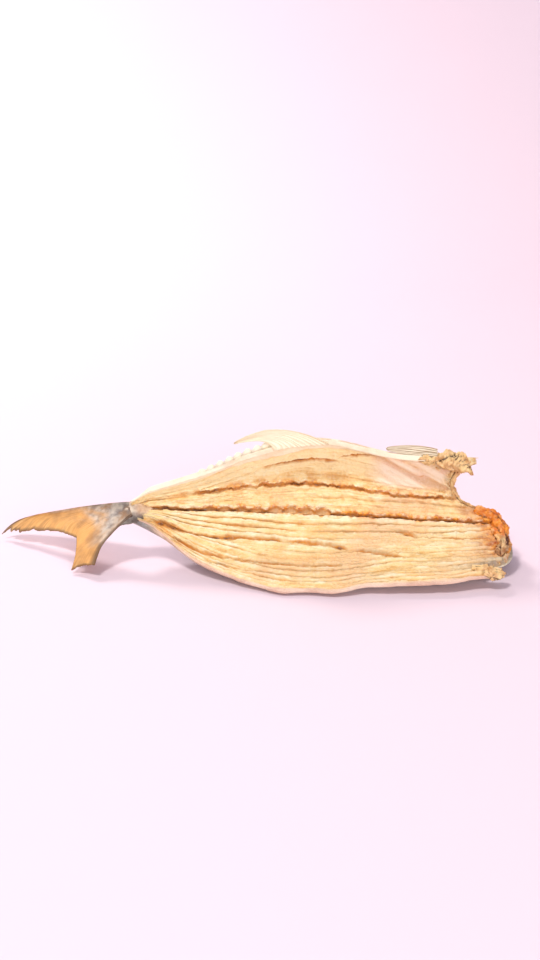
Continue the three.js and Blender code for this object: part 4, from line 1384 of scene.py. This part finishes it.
one_chip = chip()
bpy.context.scene.collection.objects.link(one_chip)
CRUMB_TREE, CRUMB_FINISH = crumb_tree(), crumb_finish()
near_crumbs, far_crumbs = (applied(half, CRUMB_TREE, {"Chip": one_chip, "Density": 60000.0, "Seed": seed,
                                                      "Smallest": 0.0006, "Largest": 0.0018,
                                                      "Finish": CRUMB_FINISH}, name)
                           for half, seed, name in ((near_flesh, 4, "near_crumbs"),
                                                    (far_flesh, 5, "far_crumbs")))

# %% Finlets piece
one_finlet = finlet()
bpy.context.scene.collection.objects.link(one_finlet)
finlet_x = np.linspace(-56, 8, 40)
finlet_line = np.array([(lip_top(x) + np.array([0, 0, -0.4]) + SHIFT) * MM for x in finlet_x])
finlets = applied(curve_from(finlet_line, "finlet_line"), ROW,
                  {"Thing": one_finlet, "Count": 8, "First size": 0.0044, "Last size": 0.0058,
                   "Length": 0.0066, "Wobble": 0.05, "Finish": PALE_FINISH}, "finlets")

# %% Finishes of the bulky pieces
for piece, finish in ((peduncle, PEDUNCLE_FINISH), (collar, COLLAR_FINISH), (neck_tear, COLLAR_FINISH),
                      (flap_end, COLLAR_FINISH), (cut_end, CUT_FINISH)):
    piece.data.materials.append(finish)

# %% Clear the helpers away
for helper in (one_bone, one_chip, one_finlet, bone_curve, bpy.data.objects["finlet_line"]):
    bpy.data.objects.remove(helper)

# %% Every piece rides on the one body and stands for its CAD node
for piece, node, slot in ((near_flesh, "split_body", "dried_flesh"), (far_flesh, "split_body", "dried_flesh"),
                          (near_crumbs, "split_body", "dried_flesh"),
                          (far_crumbs, "split_body", "dried_flesh"),
                          (skin, "split_body", "back_skin"), (collar, "split_body", "dried_flesh"),
                          (neck_tear, "split_body", "dried_flesh"), (flap_end, "split_body", "dried_flesh"),
                          (cut_end, "split_body", "dried_flesh"), (peduncle, "split_body", "back_skin"),
                          (backbone, "backbone", "dried_bone"),
                          (tail, "tail_fin", "tail_fin"), (anal, "anal_fin", "belly_skin"),
                          (finlets, "anal_fin", "belly_skin"), (pelvic, "pelvic_fin", "belly_skin"),
                          (dorsal, "dorsal_fin", "back_skin"), (pectoral, "pectoral_fin", "back_skin")):
    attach(piece, "root")
    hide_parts(node)

# %% [markdown]
# ## Floor, light and camera
# A pale sweep stands for the table and the wall behind it.  Three broad lamps and a bright world give
# soft light with gentle shadows.

# %% Stage
def sweep():
    profile = [(-9.0, 0.0), (1.2, 0.0)] + [(1.2 + 0.8 * math.sin(a), 0.8 - 0.8 * math.cos(a))
                                           for a in np.linspace(0.1, math.pi / 2, 14)] + [(2.0, 3.5)]
    verts = [(side, y, z) for y, z in profile for side in (-9.0, 9.0)]
    faces = [(2 * k, 2 * k + 1, 2 * k + 3, 2 * k + 2) for k in range(len(profile) - 1)]
    mesh = bpy.data.meshes.new("floor")
    mesh.from_pydata(verts, [], faces)
    mesh.polygons.foreach_set("use_smooth", np.ones(len(mesh.polygons), bool))
    floor = bpy.data.objects.new("floor", mesh)
    bpy.context.scene.collection.objects.link(floor)
    f = Finish("pale floor", 0.7, 0.2)
    f.shader.inputs["Base Color"].default_value = (0.76, 0.63, 0.705, 1)
    mesh.materials.append(f.material)
    floor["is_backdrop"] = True


def lamp(name, place, target, size, power, colour):
    light = bpy.data.lights.new(name, "AREA")
    light.size, light.energy, light.color = size, power, colour
    holder = bpy.data.objects.new(name, light)
    holder.location = place
    holder.rotation_euler = (Vector(target) - Vector(place)).to_track_quat("-Z", "Y").to_euler()
    bpy.context.scene.collection.objects.link(holder)


sweep()
lamp("key", (-1.0, -1.0, 2.9), (0, 0, 0.05), 0.55, 58, (1.0, 0.97, 0.93))
lamp("back", (-1.0, 1.7, 1.8), (0, 0, 0.05), 0.5, 38, (1.0, 0.96, 0.92))
lamp("fill", (0.9, -3.2, 1.1), (0, 0, 0.06), 1.4, 56, (1.0, 0.97, 0.97))
world = bpy.data.worlds.new("soft light")
bpy.context.scene.world = world
world.use_nodes = True
world.node_tree.nodes["Background"].inputs["Color"].default_value = (0.95, 0.92, 1.0, 1)
world.node_tree.nodes["Background"].inputs["Strength"].default_value = 0.42
bpy.context.scene.view_settings.view_transform = "Standard"

# %% Camera
CAMERA_ELEVATION = math.radians(20)
CAMERA_DISTANCE = 1.5
low, high = cad_bounds
middle = (Vector(low) + Vector(high)) / 2
aim = middle + Vector((0.019, -0.003, 0.0265))
camera = bpy.data.objects.new("camera", bpy.data.cameras.new("camera"))
camera.data.lens = 57.6
camera.location = aim + Vector((0, -math.cos(CAMERA_ELEVATION), math.sin(CAMERA_ELEVATION))) * CAMERA_DISTANCE
camera.rotation_euler = (math.pi / 2 - CAMERA_ELEVATION, 0, 0)
bpy.context.scene.collection.objects.link(camera)
bpy.context.scene.camera = camera

# %% Print the bounds of the CAD model and of the new pieces
new_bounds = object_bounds()
for title, box in (("CAD", cad_bounds), ("visual", new_bounds)):
    print(title, [tuple(round(v, 4) for v in corner) for corner in box])
